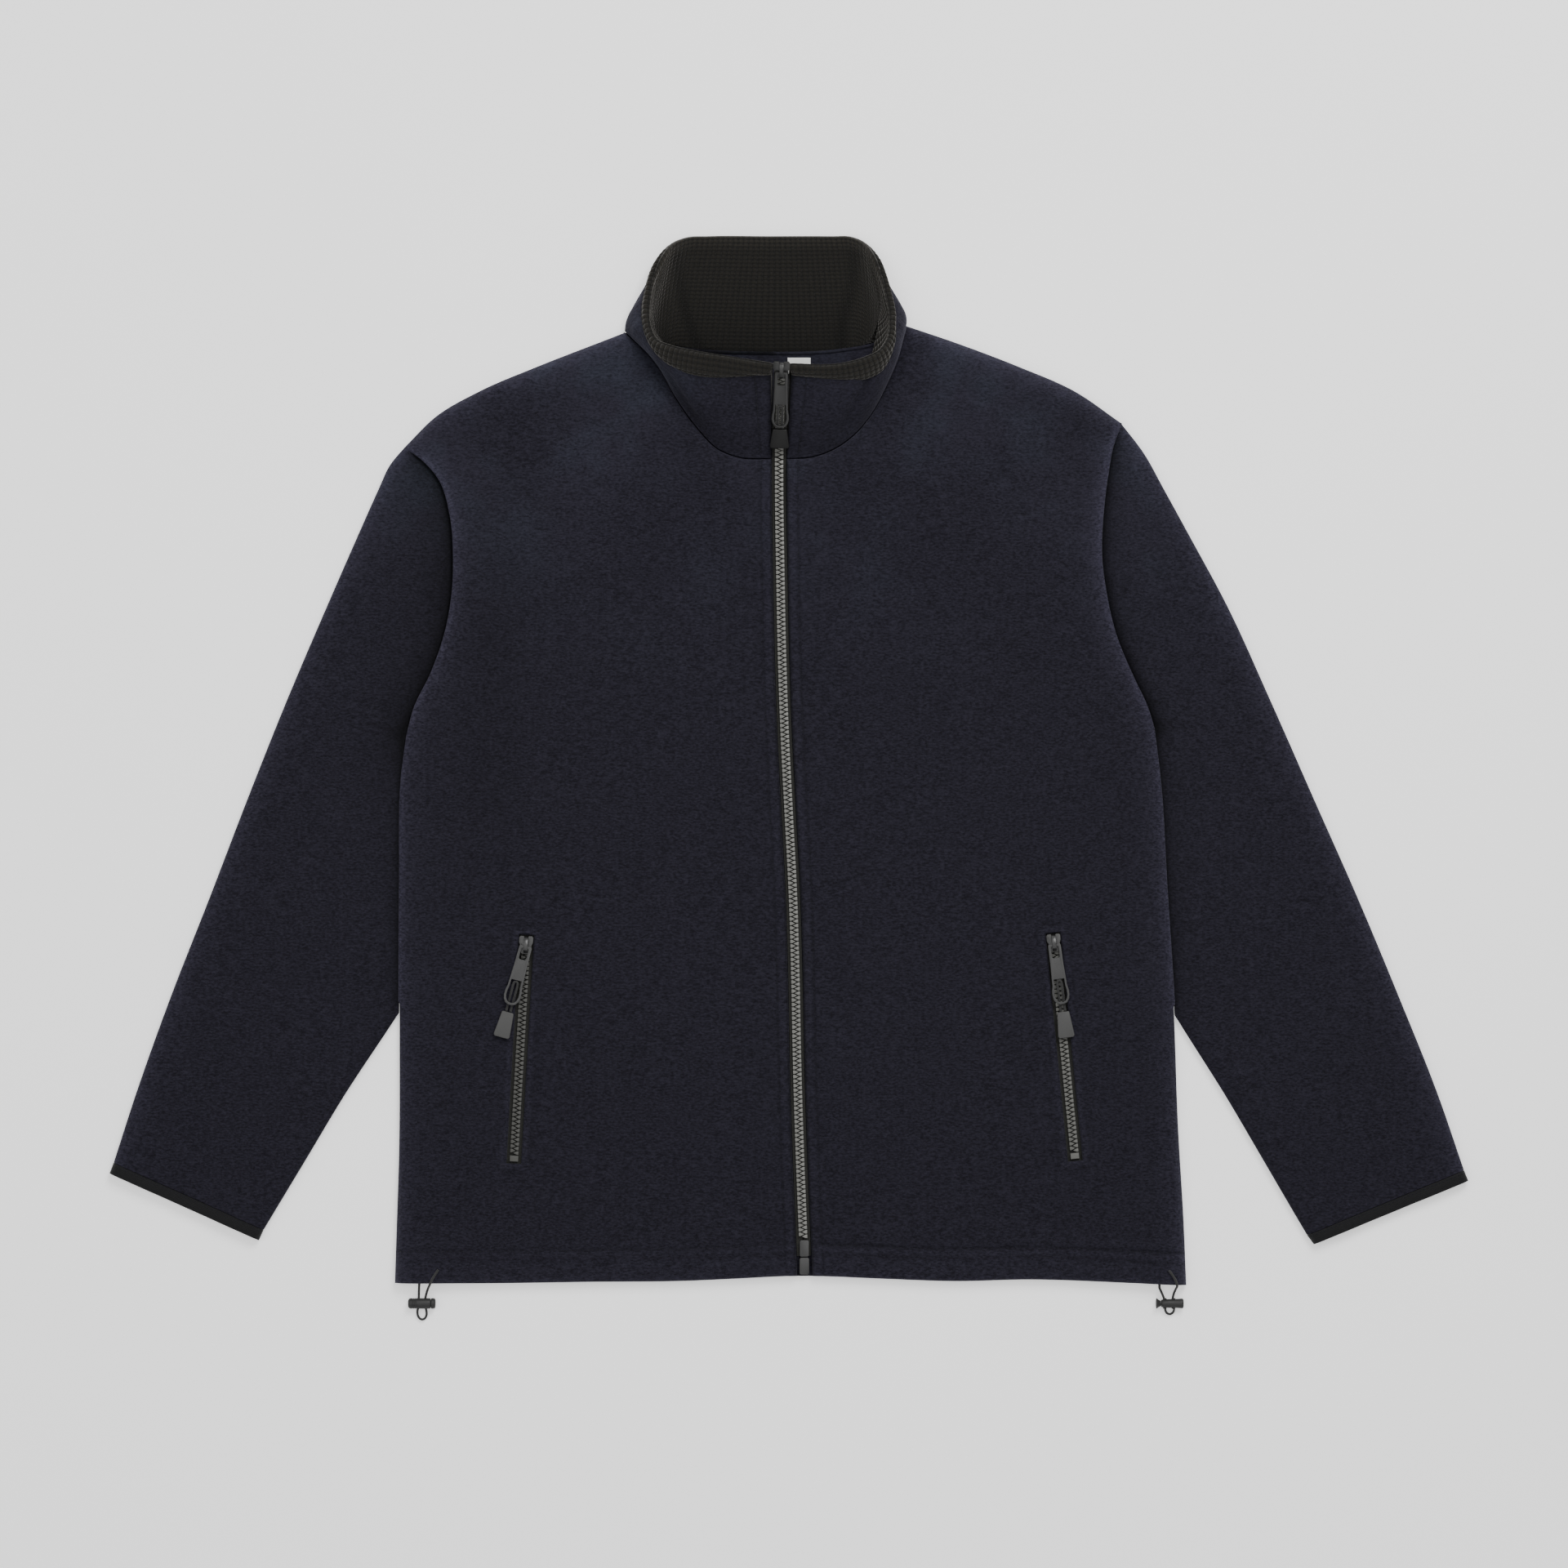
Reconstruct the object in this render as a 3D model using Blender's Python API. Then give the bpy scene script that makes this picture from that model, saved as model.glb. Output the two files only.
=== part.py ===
"""A fleece zip jacket laid flat on its back, front upwards, built from its cut pieces.

The frame: +x towards the wearer's left sleeve, +y up the jacket from hem to collar, +z up from the
surface it lies on. Sizes are written in millimetres and turned into metres as each mesh is made.
Every cloth piece is a wall: an outer face worked out on a grid, and an inner face a thickness below.
"""
import math

import bmesh
import bpy
import numpy as np

MM = 0.001

# ---------------------------------------------------------------- driving sizes, in millimetres
SEAM = 0.3  # clear space between two pieces that are sewn together
SIDE_GAP = 0.5  # clear space between the body's side and the sleeve that lies beside it
FLEECE = 3.0
COLLAR_FLEECE = 2.5
LINING = 1.6
LINING_GAP, ROLL_GAP = 0.6, 0.45  # between the collar's shell and its lining, inside and where it rolls over
MID = 4.7  # height of the side, shoulder and sleeve edges above the surface
FLAT_TOP = 7.5  # height of the upper face where the layers lie flat
MOST_HOLLOW = 3.3  # the upper wall grows inwards where it stands higher than this over the lower
BODY_ROUND, SLEEVE_ROUND, UNDER_ROUND = 6.5, 5.5, MID  # how far in from an edge its rounding runs
BODY_PUFF, SLEEVE_PUFF = 3.8, 1.3  # how much the cloth stands up just inside its edges
PUFF_AT = 14.0  # how far in from an edge it stands highest
INNER_EASE = 0.5  # how much wider an edge's inner curve is than its outer one less the wall, in walls
HEM_DEPTH = 24.0  # the drawcord casing, from the hem's edge to its row of stitches
HEM_FLEECE = 4.4  # the turned-up hem
ZIP_HALF_OPENING = 5.85  # from the zip's middle to each fleece edge
TAPE = 0.8
TAPE_BELOW, CHAIN_BELOW = 3.4, 0.6  # how far the tape and the top of the teeth lie under the fleece's face
CHAIN_HEIGHT = 2.5
BINDING = 8.5  # width of the cuff binding
PIN_ABOVE = 3.3  # a pull's hinge pin above the fleece's face

# The laid garment's outline: rows of x, y. Each list runs the way its name says.
OUTLINE = {
    "right": {
        "side_hem_to_underarm": [(-294, -391.3), (-292.5, -345), (-291, -299.5), (-290.4, -189.7),
                                 (-289.8, -90), (-288.3, -12.8), (-284.3, 17.7)],
        "armhole_underarm_to_shoulder": [(-284.3, 17.7), (-279, 37), (-266, 64), (-256.2, 92), (-250.5, 123),
                                         (-249.5, 153), (-252, 182), (-260.5, 209), (-272, 222.5),
                                         (-286.1, 233)],
        "shoulder_to_neck": [(-286.1, 233), (-262.9, 255.6), (-231.2, 273.9), (-188.5, 292.2),
                             (-141.5, 310.5), (-122.6, 317.8)],
        "front_neck_to_zip": [(-122.6, 317.8), (-98.8, 294), (-84.2, 268), (-67.7, 245), (-53.1, 230.5),
                              (-36, 224), (-13.15, 223.3)],
        "sleeve_outer": [(-286.1, 233), (-297.7, 219), (-306.2, 201), (-322.7, 164), (-344, 115.3),
                         (-375.2, 42.1), (-404.4, -31.1), (-432.5, -104.3), (-461.2, -177.5),
                         (-487.4, -250.7), (-503.7, -301.1)],
        "sleeve_inner_below_body": [(-290.9, -189.7), (-299, -202), (-331.2, -250.7), (-360.5, -299.5),
                                    (-384, -338.5), (-391.7, -351.3)],
    },
    "left": {
        "side_hem_to_underarm": [(296.5, -392.8), (294.5, -345), (290.4, -275), (287.3, -191.5),
                                 (281.5, -100), (276, -12.8), (271.5, 23.2)],
        "armhole_underarm_to_shoulder": [(271.5, 23.2), (266, 40), (257.4, 58), (243, 93), (235.5, 126),
                                         (232.4, 153), (233.4, 180), (237, 211), (241, 233),
                                         (247.5, 250.6)],
        "shoulder_to_neck": [(247.5, 250.6), (213.5, 273.9), (172, 292.2), (123.8, 310.5), (87.8, 322.7)],
        "front_neck_to_zip": [(87.8, 322.7), (80.5, 298), (71.4, 274), (61.5, 256), (48.2, 240.5),
                              (32.9, 230), (16, 224.3), (-1.45, 223.3)],
        "sleeve_outer": [(247.5, 250.6), (264.7, 228.1), (280, 200.7), (300.1, 164.1), (326.4, 115.3),
                         (359.9, 42.1), (392.2, -31.1), (424.6, -104.3), (455.1, -177.5), (484.3, -250.7),
                         (503.6, -306.7)],
        "sleeve_inner_below_body": [(287.8, -191.5), (295, -203), (325.1, -250.7), (353.8, -299.5),
                                    (378, -341), (386.4, -355.2)],
    },
}
TIP_WALL = 0.2  # a sleeve's wall at its pointed top, as a share of the width there
CUFF_EDGE = {"right": ((-506.9, -309.3), (-395.3, -359.3)), "left": ((506.9, -314.8), (391.6, -362.3))}
BACK_NECK = [(-122.6, 317.8), (-100, 309.5), (-72, 305), (-17, 302.5), (38, 304.5), (66, 310), (87.8, 322.7)]
HEM = [(-294, -391.3), (-223, -391.4), (-150, -390.4), (-77, -389.6), (-40, -388), (0, -386.1), (20, -386.1),
       (69.5, -388), (124, -389.8), (179, -388.6), (252.5, -391), (296.5, -392.8)]
ZIP_LINE = [(11.9, -386.1), (9.8, -336), (7.9, -287), (6.1, -226), (4.9, -165), (3.1, -104), (0, -43),
            (-3.1, 18), (-5.2, 79), (-6.4, 140), (-7.3, 201), (-7.3, 223.3)]

# Soft ridges on the fronts: x, y of the two ends, half width, height.
RIDGES = [(-236, 178, -150, 120, 26, 1.6), (-262, 60, -205, -60, 24, 1.3), (-120, 262, -75, 150, 30, 1.2),
          (220, 190, 140, 120, 26, 1.5), (250, 60, 190, -50, 24, 1.4), (98, 262, 62, 160, 28, 1.2),
          (-235, -190, -232, -330, 22, 1.2), (246, -170, 250, -330, 22, 1.3)]

# The collar's top edge, seen from its right end at the zip round the back to its left end: x, y, z.
RIM = [(-13.2, 291, 46), (-45, 293.5, 45.5), (-70.8, 297, 43.5), (-88, 302, 40), (-98, 308.5, 36),
       (-103, 319, 32), (-104.3, 333, 27), (-103.3, 347, 22), (-100.8, 361, 17), (-96, 374, 12),
       (-88.5, 384, 7), (-77, 389, 3.4), (-60, 390, 2.6), (-15, 390, 2.6), (32, 390, 2.6), (46, 389.7, 3.4),
       (56.8, 385.2, 7), (64.4, 375.5, 12), (69.3, 361, 17), (72.8, 345, 22.5), (75.4, 325, 29.5), (74, 311, 35),
       (67, 300, 40), (56, 294, 43.5), (42, 291, 45.5), (2.2, 291, 46)]
RIM_AT_NECK = {"right": (-103.3, 347), "left": (72.8, 345)}  # the rim's points above the neck's corners

# The two drawcords: x, y, z along each, from the hem, through its lock, round its loop and back.
DRAWCORDS = {
    "right": [(-275.7, -392.6, 6.4), (-275.9, -395.5, 5.6), (-276.1, -399.5, 4.4), (-276.2, -403, 4.0),
              (-276.3, -406.5, 4.0), (-276.8, -410, 3.8), (-277.3, -413, 2.6), (-276.9, -416, 1.6),
              (-275.2, -418.3, 1.2), (-273.5, -418.7, 1.2), (-271.6, -417.6, 1.3), (-270.5, -415, 1.8),
              (-270.6, -412, 3.0), (-271.1, -409.5, 3.9), (-271.5, -406.5, 4.0), (-271.3, -403, 4.1),
              (-270.4, -399, 5.4), (-268.9, -394.8, 8.6), (-267.2, -391.2, 10.4), (-265.2, -387, 10.6),
              (-263, -383.4, 10.5), (-261.1, -380.6, 10.4)],
    "left": [(276.3, -394.4, 6.4), (277.2, -396.5, 5.6), (278.8, -400, 4.4), (280, -403.2, 4.0),
             (280.6, -406.5, 4.0), (280.7, -410, 3.7), (281.2, -412.4, 2.5), (282.6, -414.2, 1.5),
             (284.4, -414.8, 1.2), (286.2, -413.9, 1.6), (287.3, -412, 2.9), (287.3, -409.6, 3.9),
             (286.7, -406.5, 4.0), (286.4, -403, 4.1), (287.1, -399, 5.6), (288.3, -395.4, 8.8),
             (289, -392.2, 10.4), (287.6, -388, 10.6), (285.3, -384.2, 10.5), (283, -381, 10.4)],
}
CORD = 1.8
HEM_EDGE_Y = {"right": -391.3, "left": -392.4}  # above this the second strand lies on the hem
LOCKS = {"right": {"centre": (-273.9, -406.5), "head": 1, "trumpet": False},
         "left": {"centre": (284.2, -406.5), "head": -1, "trumpet": True}}
LOCK_LONG, LOCK_RADIUS, LOCK_HEAD = 20.5, 3.95, 3.4

# Pocket zips: the top and bottom of each slit, and how far its pull is turned from the zip.
POCKETS = {"right": {"top": (-195.6, -131.5), "bottom": (-205.2, -302.0), "pull_turn": -12.0},
           "left": {"top": (196.8, -130.0), "bottom": (213.6, -300.0), "pull_turn": 2.0}}
POCKET_HALF_OPENING = 5.5
SLIDER_AT = 9.0  # a pocket slider's pin below the slit's top
MAIN_SLIDER_Y = 286.0
RAMP_EASE = 4.0  # how softly the zip turns up into the collar

COLOURS = {
    "navy_fleece": ((0.016, 0.018, 0.031), 0.95, 0.0),
    "black_grid_fleece": ((0.012, 0.011, 0.010), 0.95, 0.0),
    "black_binding": ((0.009, 0.009, 0.010), 0.9, 0.0),
    "white_label": ((0.82, 0.82, 0.80), 0.8, 0.0),
    "zip_tape": ((0.020, 0.020, 0.019), 0.85, 0.0),
    "zip_teeth": ((0.10, 0.10, 0.095), 0.45, 0.0),
    "gunmetal": ((0.075, 0.075, 0.078), 0.42, 0.85),
    "black_cord": ((0.010, 0.010, 0.010), 0.8, 0.0),
    "black_plastic": ((0.045, 0.045, 0.046), 0.45, 0.0),
}


# ---------------------------------------------------------------- curves and grids
class Curve:
    """A smooth line through points: cubic pieces whose slope at a point is that of its neighbours."""

    def __init__(self, points, steps=14):
        p = np.array(points, float)
        knots = np.concatenate([[0], np.cumsum(np.linalg.norm(np.diff(p, axis=0), axis=1))])
        slope = np.gradient(p, knots, axis=0)
        dense = [p[:1]]
        for i in range(len(p) - 1):
            h = knots[i + 1] - knots[i]
            t = np.linspace(0, 1, steps + 1)[1:, None]
            dense.append((2 * t**3 - 3 * t**2 + 1) * p[i] + (t**3 - 2 * t**2 + t) * h * slope[i]
                         + (3 * t**2 - 2 * t**3) * p[i + 1] + (t**3 - t**2) * h * slope[i + 1])
        self.points = np.concatenate(dense)
        self.reach = np.concatenate([[0], np.cumsum(np.linalg.norm(np.diff(self.points, axis=0), axis=1))])
        self.length = self.reach[-1]

    def at(self, s):
        """The points at distances s along the line."""
        s = np.asarray(s, float)
        return np.stack([np.interp(s, self.reach, c) for c in self.points.T], axis=-1)

    def along(self, s):
        """Unit vectors along the line at distances s."""
        s = np.asarray(s, float)
        step = self.at(np.minimum(s + 0.5, self.length)) - self.at(np.maximum(s - 0.5, 0))
        return step / np.linalg.norm(step, axis=-1, keepdims=True)

    def nearest(self, xy):
        """How far along the line the point nearest to xy is."""
        fine = np.linspace(0, self.length, 1200)
        return fine[np.linalg.norm(self.at(fine)[:, :2] - np.array(xy), axis=1).argmin()]


def to_lines(points, lines):
    """For each plan point, its distance to the nearest of the lines, and the nearest place on them."""
    flat = points.reshape(-1, 2)
    best, place = np.full(len(flat), np.inf), np.zeros_like(flat)
    for line in lines:
        a, b = line[:-1], line[1:]
        run = b - a
        t = ((flat[:, None] - a) * run).sum(2) / np.maximum((run * run).sum(1), 1e-12)
        on = a + np.clip(t, 0, 1)[..., None] * run
        far = np.linalg.norm(flat[:, None] - on, axis=2)
        pick = far.argmin(1)
        value = far[np.arange(len(flat)), pick]
        closer = value < best
        best[closer] = value[closer]
        place[closer] = on[np.arange(len(flat)), pick][closer]
    return best.reshape(points.shape[:-1]), place.reshape(points.shape)


def between_edges(bottom, top, left, right, u, v):
    """Plan points inside four edges: each pair of facing edges is blended, and the corners taken off."""
    u, v = u[None, :, None], v[:, None, None]
    corners = ((1 - u) * (1 - v) * bottom[0] + u * (1 - v) * bottom[-1]
               + (1 - u) * v * top[0] + u * v * top[-1])
    return (1 - v) * bottom[None] + v * top[None] + (1 - u) * left[:, None] + u * right[:, None] - corners


def shares(*lines):
    """The mean share of the way along at each point of some rows of points."""
    parts = []
    for line in lines:
        reach = np.concatenate([[0], np.cumsum(np.linalg.norm(np.diff(line, axis=0), axis=1))])
        parts.append(reach / reach[-1])
    return np.mean(parts, axis=0)


# ---------------------------------------------------------------- meshes
def material(name):
    found = bpy.data.materials.get(name)
    if found:
        return found
    colour, roughness, metallic = COLOURS[name]
    made = bpy.data.materials.new(name)
    made.use_nodes = True
    shader = made.node_tree.nodes["Principled BSDF"]
    shader.inputs["Base Color"].default_value = (*colour, 1)
    shader.inputs["Roughness"].default_value = roughness
    shader.inputs["Metallic"].default_value = metallic
    return made


def add(name, points, faces, finish, smooth=40):
    """One named object from points in millimetres. Points in one place are one vertex, and a four-sided
    face is split along its shorter diagonal, so that faces that lie side by side are split alike."""
    points = np.asarray(points, float)
    _, first, same = np.unique(np.round(points, 4), axis=0, return_index=True, return_inverse=True)
    same = same.reshape(-1)
    kept = []
    for face in faces:
        ring = [int(same[i]) for i in face]
        ring = [k for k, before in zip(ring, [ring[-1]] + ring[:-1]) if k != before]
        if len(ring) == 4:
            a, b, c, d = points[first[ring]]
            if np.linalg.norm(b - d) < np.linalg.norm(a - c):
                ring = ring[1:] + ring[:1]
            kept += [ring[:3], [ring[0], ring[2], ring[3]]]
        elif len(set(ring)) > 2:
            kept.append(ring)
    mesh = bpy.data.meshes.new(name)
    mesh.from_pydata((points[first] * MM).tolist(), [], kept)
    shape = bmesh.new()
    shape.from_mesh(mesh)
    bmesh.ops.recalc_face_normals(shape, faces=shape.faces)
    shape.to_mesh(mesh)
    shape.free()
    mesh.shade_smooth()
    mesh.set_sharp_from_angle(angle=math.radians(smooth))
    mesh.materials.append(material(finish))
    made = bpy.data.objects.new(name, mesh)
    bpy.context.collection.objects.link(made)
    return made


def wall(name, outer, inner, finish):
    """A closed wall between two grids of points of the same shape, joined round all four edges."""
    rows, columns = outer.shape[:2]
    index = np.arange(rows * columns).reshape(rows, columns)
    faces = []
    for base, flip in ((0, 1), (rows * columns, -1)):
        grid = index + base
        for r in range(rows - 1):
            for c in range(columns - 1):
                faces.append([grid[r, c], grid[r, c + 1], grid[r + 1, c + 1], grid[r + 1, c]][::flip])
    rim = np.concatenate([index[0], index[1:, -1], index[-1, -2::-1], index[-2:0:-1, 0]])
    for a, b in zip(rim, np.roll(rim, -1)):
        faces.append([a, b, b + rows * columns, a + rows * columns][::-1])
    return add(name, np.concatenate([outer.reshape(-1, 3), inner.reshape(-1, 3)]), faces, finish)


def sweep(name, sections, finish, closed=False, smooth=40):
    """A solid through sections of the same number of points, capped at its ends unless it is closed."""
    sections = np.asarray(sections, float)
    count, around = sections.shape[:2]
    index = np.arange(count * around).reshape(count, around)
    faces = []
    for r in range(count if closed else count - 1):
        for c in range(around):
            d = (c + 1) % around
            faces.append([index[r, c], index[r, d], index[(r + 1) % count, d], index[(r + 1) % count, c]])
    if not closed:
        faces += [index[0, ::-1].tolist(), index[-1].tolist()]
    return add(name, sections.reshape(-1, 3), faces, finish, smooth)


def plate(name, outline, low, high, place, finish):
    """A flat plate: an outline of x, y pushed up from low to high, moved by place."""
    flat = np.array(outline, float)
    layers = [np.column_stack([flat, np.full(len(flat), z)]) for z in (low, high)]
    return sweep(name, [place(layer) for layer in layers], finish, smooth=30)


def carve(target, tool, operation="DIFFERENCE"):
    """Cuts a tool from a target, or joins the two."""
    change = target.modifiers.new(operation.title(), "BOOLEAN")
    change.operation = operation
    change.object = tool
    tool.hide_render = True
    tool.display_type = "WIRE"


def box(low, high):
    """An outline with small chamfers, between two corners in plan."""
    (x0, y0), (x1, y1), c = low, high, min(high[0] - low[0], high[1] - low[1]) * 0.14
    return [(x0 + c, y0), (x1 - c, y0), (x1, y0 + c), (x1, y1 - c), (x1 - c, y1), (x0 + c, y1),
            (x0, y1 - c), (x0, y0 + c)]


# ---------------------------------------------------------------- the garment's lines
class Side:
    """The lines of one half of the garment, and the places along them where pieces meet."""

    def __init__(self, name):
        rows = OUTLINE[name]
        self.name, self.sign = name, -1 if name == "right" else 1
        self.side = Curve(rows["side_hem_to_underarm"])
        self.armhole = Curve(rows["armhole_underarm_to_shoulder"])
        self.shoulder = Curve(rows["shoulder_to_neck"])
        self.neck = Curve(rows["front_neck_to_zip"])
        self.outer = Curve(rows["sleeve_outer"])
        self.below = Curve(rows["sleeve_inner_below_body"])
        self.leaves = self.side.nearest(rows["sleeve_inner_below_body"][0])
        beside = self.side.points[self.side.reach >= self.leaves] + (self.sign * SIDE_GAP, 0)
        self.folds = [self.side.points, self.shoulder.points, self.outer.points, beside, self.below.points]
        long = self.side.length
        self.side_steps = np.concatenate([
            [0, 2.2, HEM_DEPTH], [(HEM_DEPTH + self.leaves) / 2],
            self.leaves + (long - self.leaves) * np.array([0, 0.33, 0.66, 0.9]), [long - 5]])
        arm = self.armhole.length
        self.arm_steps = np.concatenate([[0, 2, 6.5], 6.5 + (arm - 20.5) * np.array([0.16, 0.34, 0.52, 0.69, 0.85]),
                                         arm - np.array([14, 4.7, 1.2, 0])])
        self.neck_steps = np.concatenate([[0, 1.5, 5.5], 5.5 + (self.neck.length - 8) * np.linspace(0.1, 0.86, 7),
                                          self.neck.length - np.array([2.5, 0])])

    def body_edge(self):
        """Points up the body's side and armhole, and the armhole's direction there (0, 0 on the side)."""
        side, arm = self.side.at(self.side_steps), self.armhole.at(self.arm_steps)
        cut = np.concatenate([np.zeros_like(side), self.armhole.along(self.arm_steps)])
        return np.concatenate([side, arm]), cut


SIDES = {name: Side(name) for name in ("right", "left")}
FOLDS = SIDES["right"].folds + SIDES["left"].folds
SEAMS = [s.armhole.points for s in SIDES.values()] + [s.neck.points for s in SIDES.values()]
BACK_NECK_LINE = Curve(BACK_NECK)
HEM_LINE = Curve(HEM)
ZIP = Curve(ZIP_LINE)


def ridges(points):
    """The height that the soft ridges add: each falls off across its line and towards its two ends."""
    total = np.zeros(points.shape[:-1])
    for x0, y0, x1, y1, half, high in RIDGES:
        start, run = np.array([x0, y0]), np.array([x1 - x0, y1 - y0], float)
        long = np.linalg.norm(run)
        run /= long
        along = (points - start) @ run
        across = (points - start) @ np.array([-run[1], run[0]])
        total += high * np.exp(-((across / half) ** 2)) * np.exp(-(((along - long / 2) / (long * 0.5)) ** 4))
    return total


def puff(distance):
    """How much cloth stands up at a distance from an edge: from 0 to 1 at PUFF_AT, then slowly down."""
    x = distance / PUFF_AT
    return x * np.exp(1 - x)


def upper_level(points, piece):
    """The height of the upper face away from the rounding of its edges."""
    edge = to_lines(points, FOLDS)[0]
    if piece == "sleeve":
        return FLAT_TOP + SLEEVE_PUFF * puff(edge)
    seam = to_lines(points, SEAMS)[0]
    hem = to_lines(points, [HEM_LINE.points])[0]
    casing = 1.4 * np.clip(hem / 2.2, 0, 1) ** 0.5 * (hem < HEM_DEPTH - 1)
    away = np.clip(seam / 12, 0, 1)
    return FLAT_TOP + BODY_PUFF * puff(np.minimum(edge, seam)) + ridges(points) * away + casing


def faces_of(points, upper, level, rounding, half_seam, cut, thickness):
    """Outer and inner points of a wall over plan points, rounded down to the middle at the fold edges.

    Across a rounded edge each face follows a quarter of an ellipse; the inner one starts a thickness
    in from the edge. On a cut edge that way in is turned to run along the cut.
    """
    middle = np.mean(points.reshape(-1, 2), axis=0)
    inside = points + (middle - points) / np.linalg.norm(middle - points, axis=-1, keepdims=True) * 0.4
    distance = to_lines(points, FOLDS)[0]
    gap, place = to_lines(inside, FOLDS)
    out = (place - inside) / np.maximum(gap, 1e-9)[..., None]
    on_cut = (np.abs(cut).sum(-1, keepdims=True) > 0)
    turned = np.sign((out * cut).sum(-1, keepdims=True)) * cut
    out = np.where(on_cut, turned, out)
    thickness = np.broadcast_to(thickness, distance.shape)
    sign = 1 if upper else -1
    start = MID + sign * half_seam
    across = np.clip(1 - distance / rounding, 0, 1)
    target = level if upper else np.zeros_like(distance)
    outer_z = start + (target - start) * np.sqrt(1 - across**2)
    shift = thickness * across**1.5
    inner_distance = distance + shift - thickness
    inner_rounding = rounding - thickness * (1 - INNER_EASE)
    inner_across = np.clip(1 - inner_distance / inner_rounding, 0, 1)
    inner_z = start + (target - sign * thickness - start) * np.sqrt(1 - inner_across**2)
    moved = points - out * shift[..., None]
    return (np.concatenate([points, outer_z[..., None]], axis=-1),
            np.concatenate([moved, inner_z[..., None]], axis=-1))


# ---------------------------------------------------------------- body panels
def body_columns(side):
    """Places along a shoulder from its armhole end to the neck, nearest the armhole first."""
    long = side.shoulder.length
    return np.concatenate([[0, 1.2, 4.7, 14], 14 + (long - 19) * np.array([0.3, 0.64]), [long - 5]])


def front(side):
    """A front: hem, side and armhole, shoulder, neck and zip edges, slit for its pocket zip."""
    left, cut_left = side.body_edge()
    shoulder = side.shoulder.at(body_columns(side))
    neck = side.neck.at(side.neck_steps)
    top = np.concatenate([shoulder, neck])
    zip_edge = Curve(np.array(ZIP_LINE) + (side.sign * ZIP_HALF_OPENING, 0))
    start, end = HEM_LINE.nearest(left[0]), HEM_LINE.nearest(zip_edge.points[0])
    share = shares(top)
    hem = HEM_LINE.at(start + (end - start) * share)
    hem[1:4] = left[0] + np.array([[1.2], [4.7], [14]]) * (-side.sign, 0)
    hem[0], hem[-1] = left[0], (zip_edge.points[0][0], hem[-1][1])
    rise = shares(left)
    right = zip_edge.at(zip_edge.length * rise)
    right[0], right[-1] = hem[-1], top[-1]
    plan = between_edges(hem, top, left, right, shares(hem, top), rise)
    cut = np.zeros_like(plan)
    cut[:, 0] = cut_left
    cut[0] = (1, 0)
    cut[:, -1] = (0, 1)
    cut[-1, len(shoulder):] = side.neck.along(side.neck_steps)
    level = upper_level(plan, "body")
    hem_gap = to_lines(plan, [HEM_LINE.points])[0]
    thick = FLEECE + np.maximum(0, level - FLAT_TOP - (MOST_HOLLOW - 1.5))
    thick = np.where(hem_gap < HEM_DEPTH - 1, np.maximum(thick, HEM_FLEECE), thick)
    thick[0] = FLEECE + 0.6
    outer, inner = faces_of(plan, True, level, BODY_ROUND, SEAM / 2, cut, thick)
    outer[0, 3:, 2] -= 0.9
    inner[0, 3:, 2] = outer[0, 3:, 2] - 2.6
    panel = wall(f"front_{side.name}", outer, inner, "navy_fleece")
    pocket = POCKETS[side.name]
    top_end, bottom_end = np.array(pocket["top"]), np.array(pocket["bottom"])
    down = (bottom_end - top_end) / np.linalg.norm(bottom_end - top_end)
    across = np.array([-down[1], down[0]]) * POCKET_HALF_OPENING
    ring = [top_end - across, top_end + across, bottom_end + across, bottom_end - across]
    tool = sweep(f"cut_pocket_{side.name}", [[(x, y, z) for x, y in ring] for z in (2.0, 16.0)], "zip_tape")
    carve(panel, tool)
    return panel


def back():
    """The back: it lies flat on the surface, and turns up at its edges to meet the fronts."""
    right, left = SIDES["right"], SIDES["left"]
    edge_r, cut_r = right.body_edge()
    edge_l, cut_l = left.body_edge()
    shoulder_r = right.shoulder.at(body_columns(right))
    shoulder_l = left.shoulder.at(body_columns(left))[::-1]
    neck = BACK_NECK_LINE.at(back_neck_steps())
    top = np.concatenate([shoulder_r, neck, shoulder_l])
    hem = HEM_LINE.at(HEM_LINE.length * shares(top))
    for i, d in enumerate((0, 1.2, 4.7, 14)):
        hem[i] = edge_r[0] + (d, 0)
        hem[-1 - i] = edge_l[0] - (d, 0)
    plan = between_edges(hem, top, edge_r, edge_l, shares(hem, top), shares(edge_r, edge_l))
    cut = np.zeros_like(plan)
    cut[:, 0], cut[:, -1] = cut_r, cut_l
    cut[0] = (1, 0)
    cut[-1, len(shoulder_r):-len(shoulder_l)] = BACK_NECK_LINE.along(back_neck_steps())
    thick = np.full(plan.shape[:2], FLEECE)
    outer, inner = faces_of(plan, False, None, UNDER_ROUND, SEAM / 2, cut, thick)
    return wall("back_panel", outer, inner, "navy_fleece")


def back_neck_steps():
    """Places along the back neck from its right corner to its left one."""
    long = BACK_NECK_LINE.length
    spread = np.array([0.06, 0.1, 0.15, 0.21, 0.29, 0.4])
    return np.concatenate([[0, 1.5, 5.5], long * spread, long * (1 - spread[::-1]),
                           long - np.array([5.5, 1.5, 0])])


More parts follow.
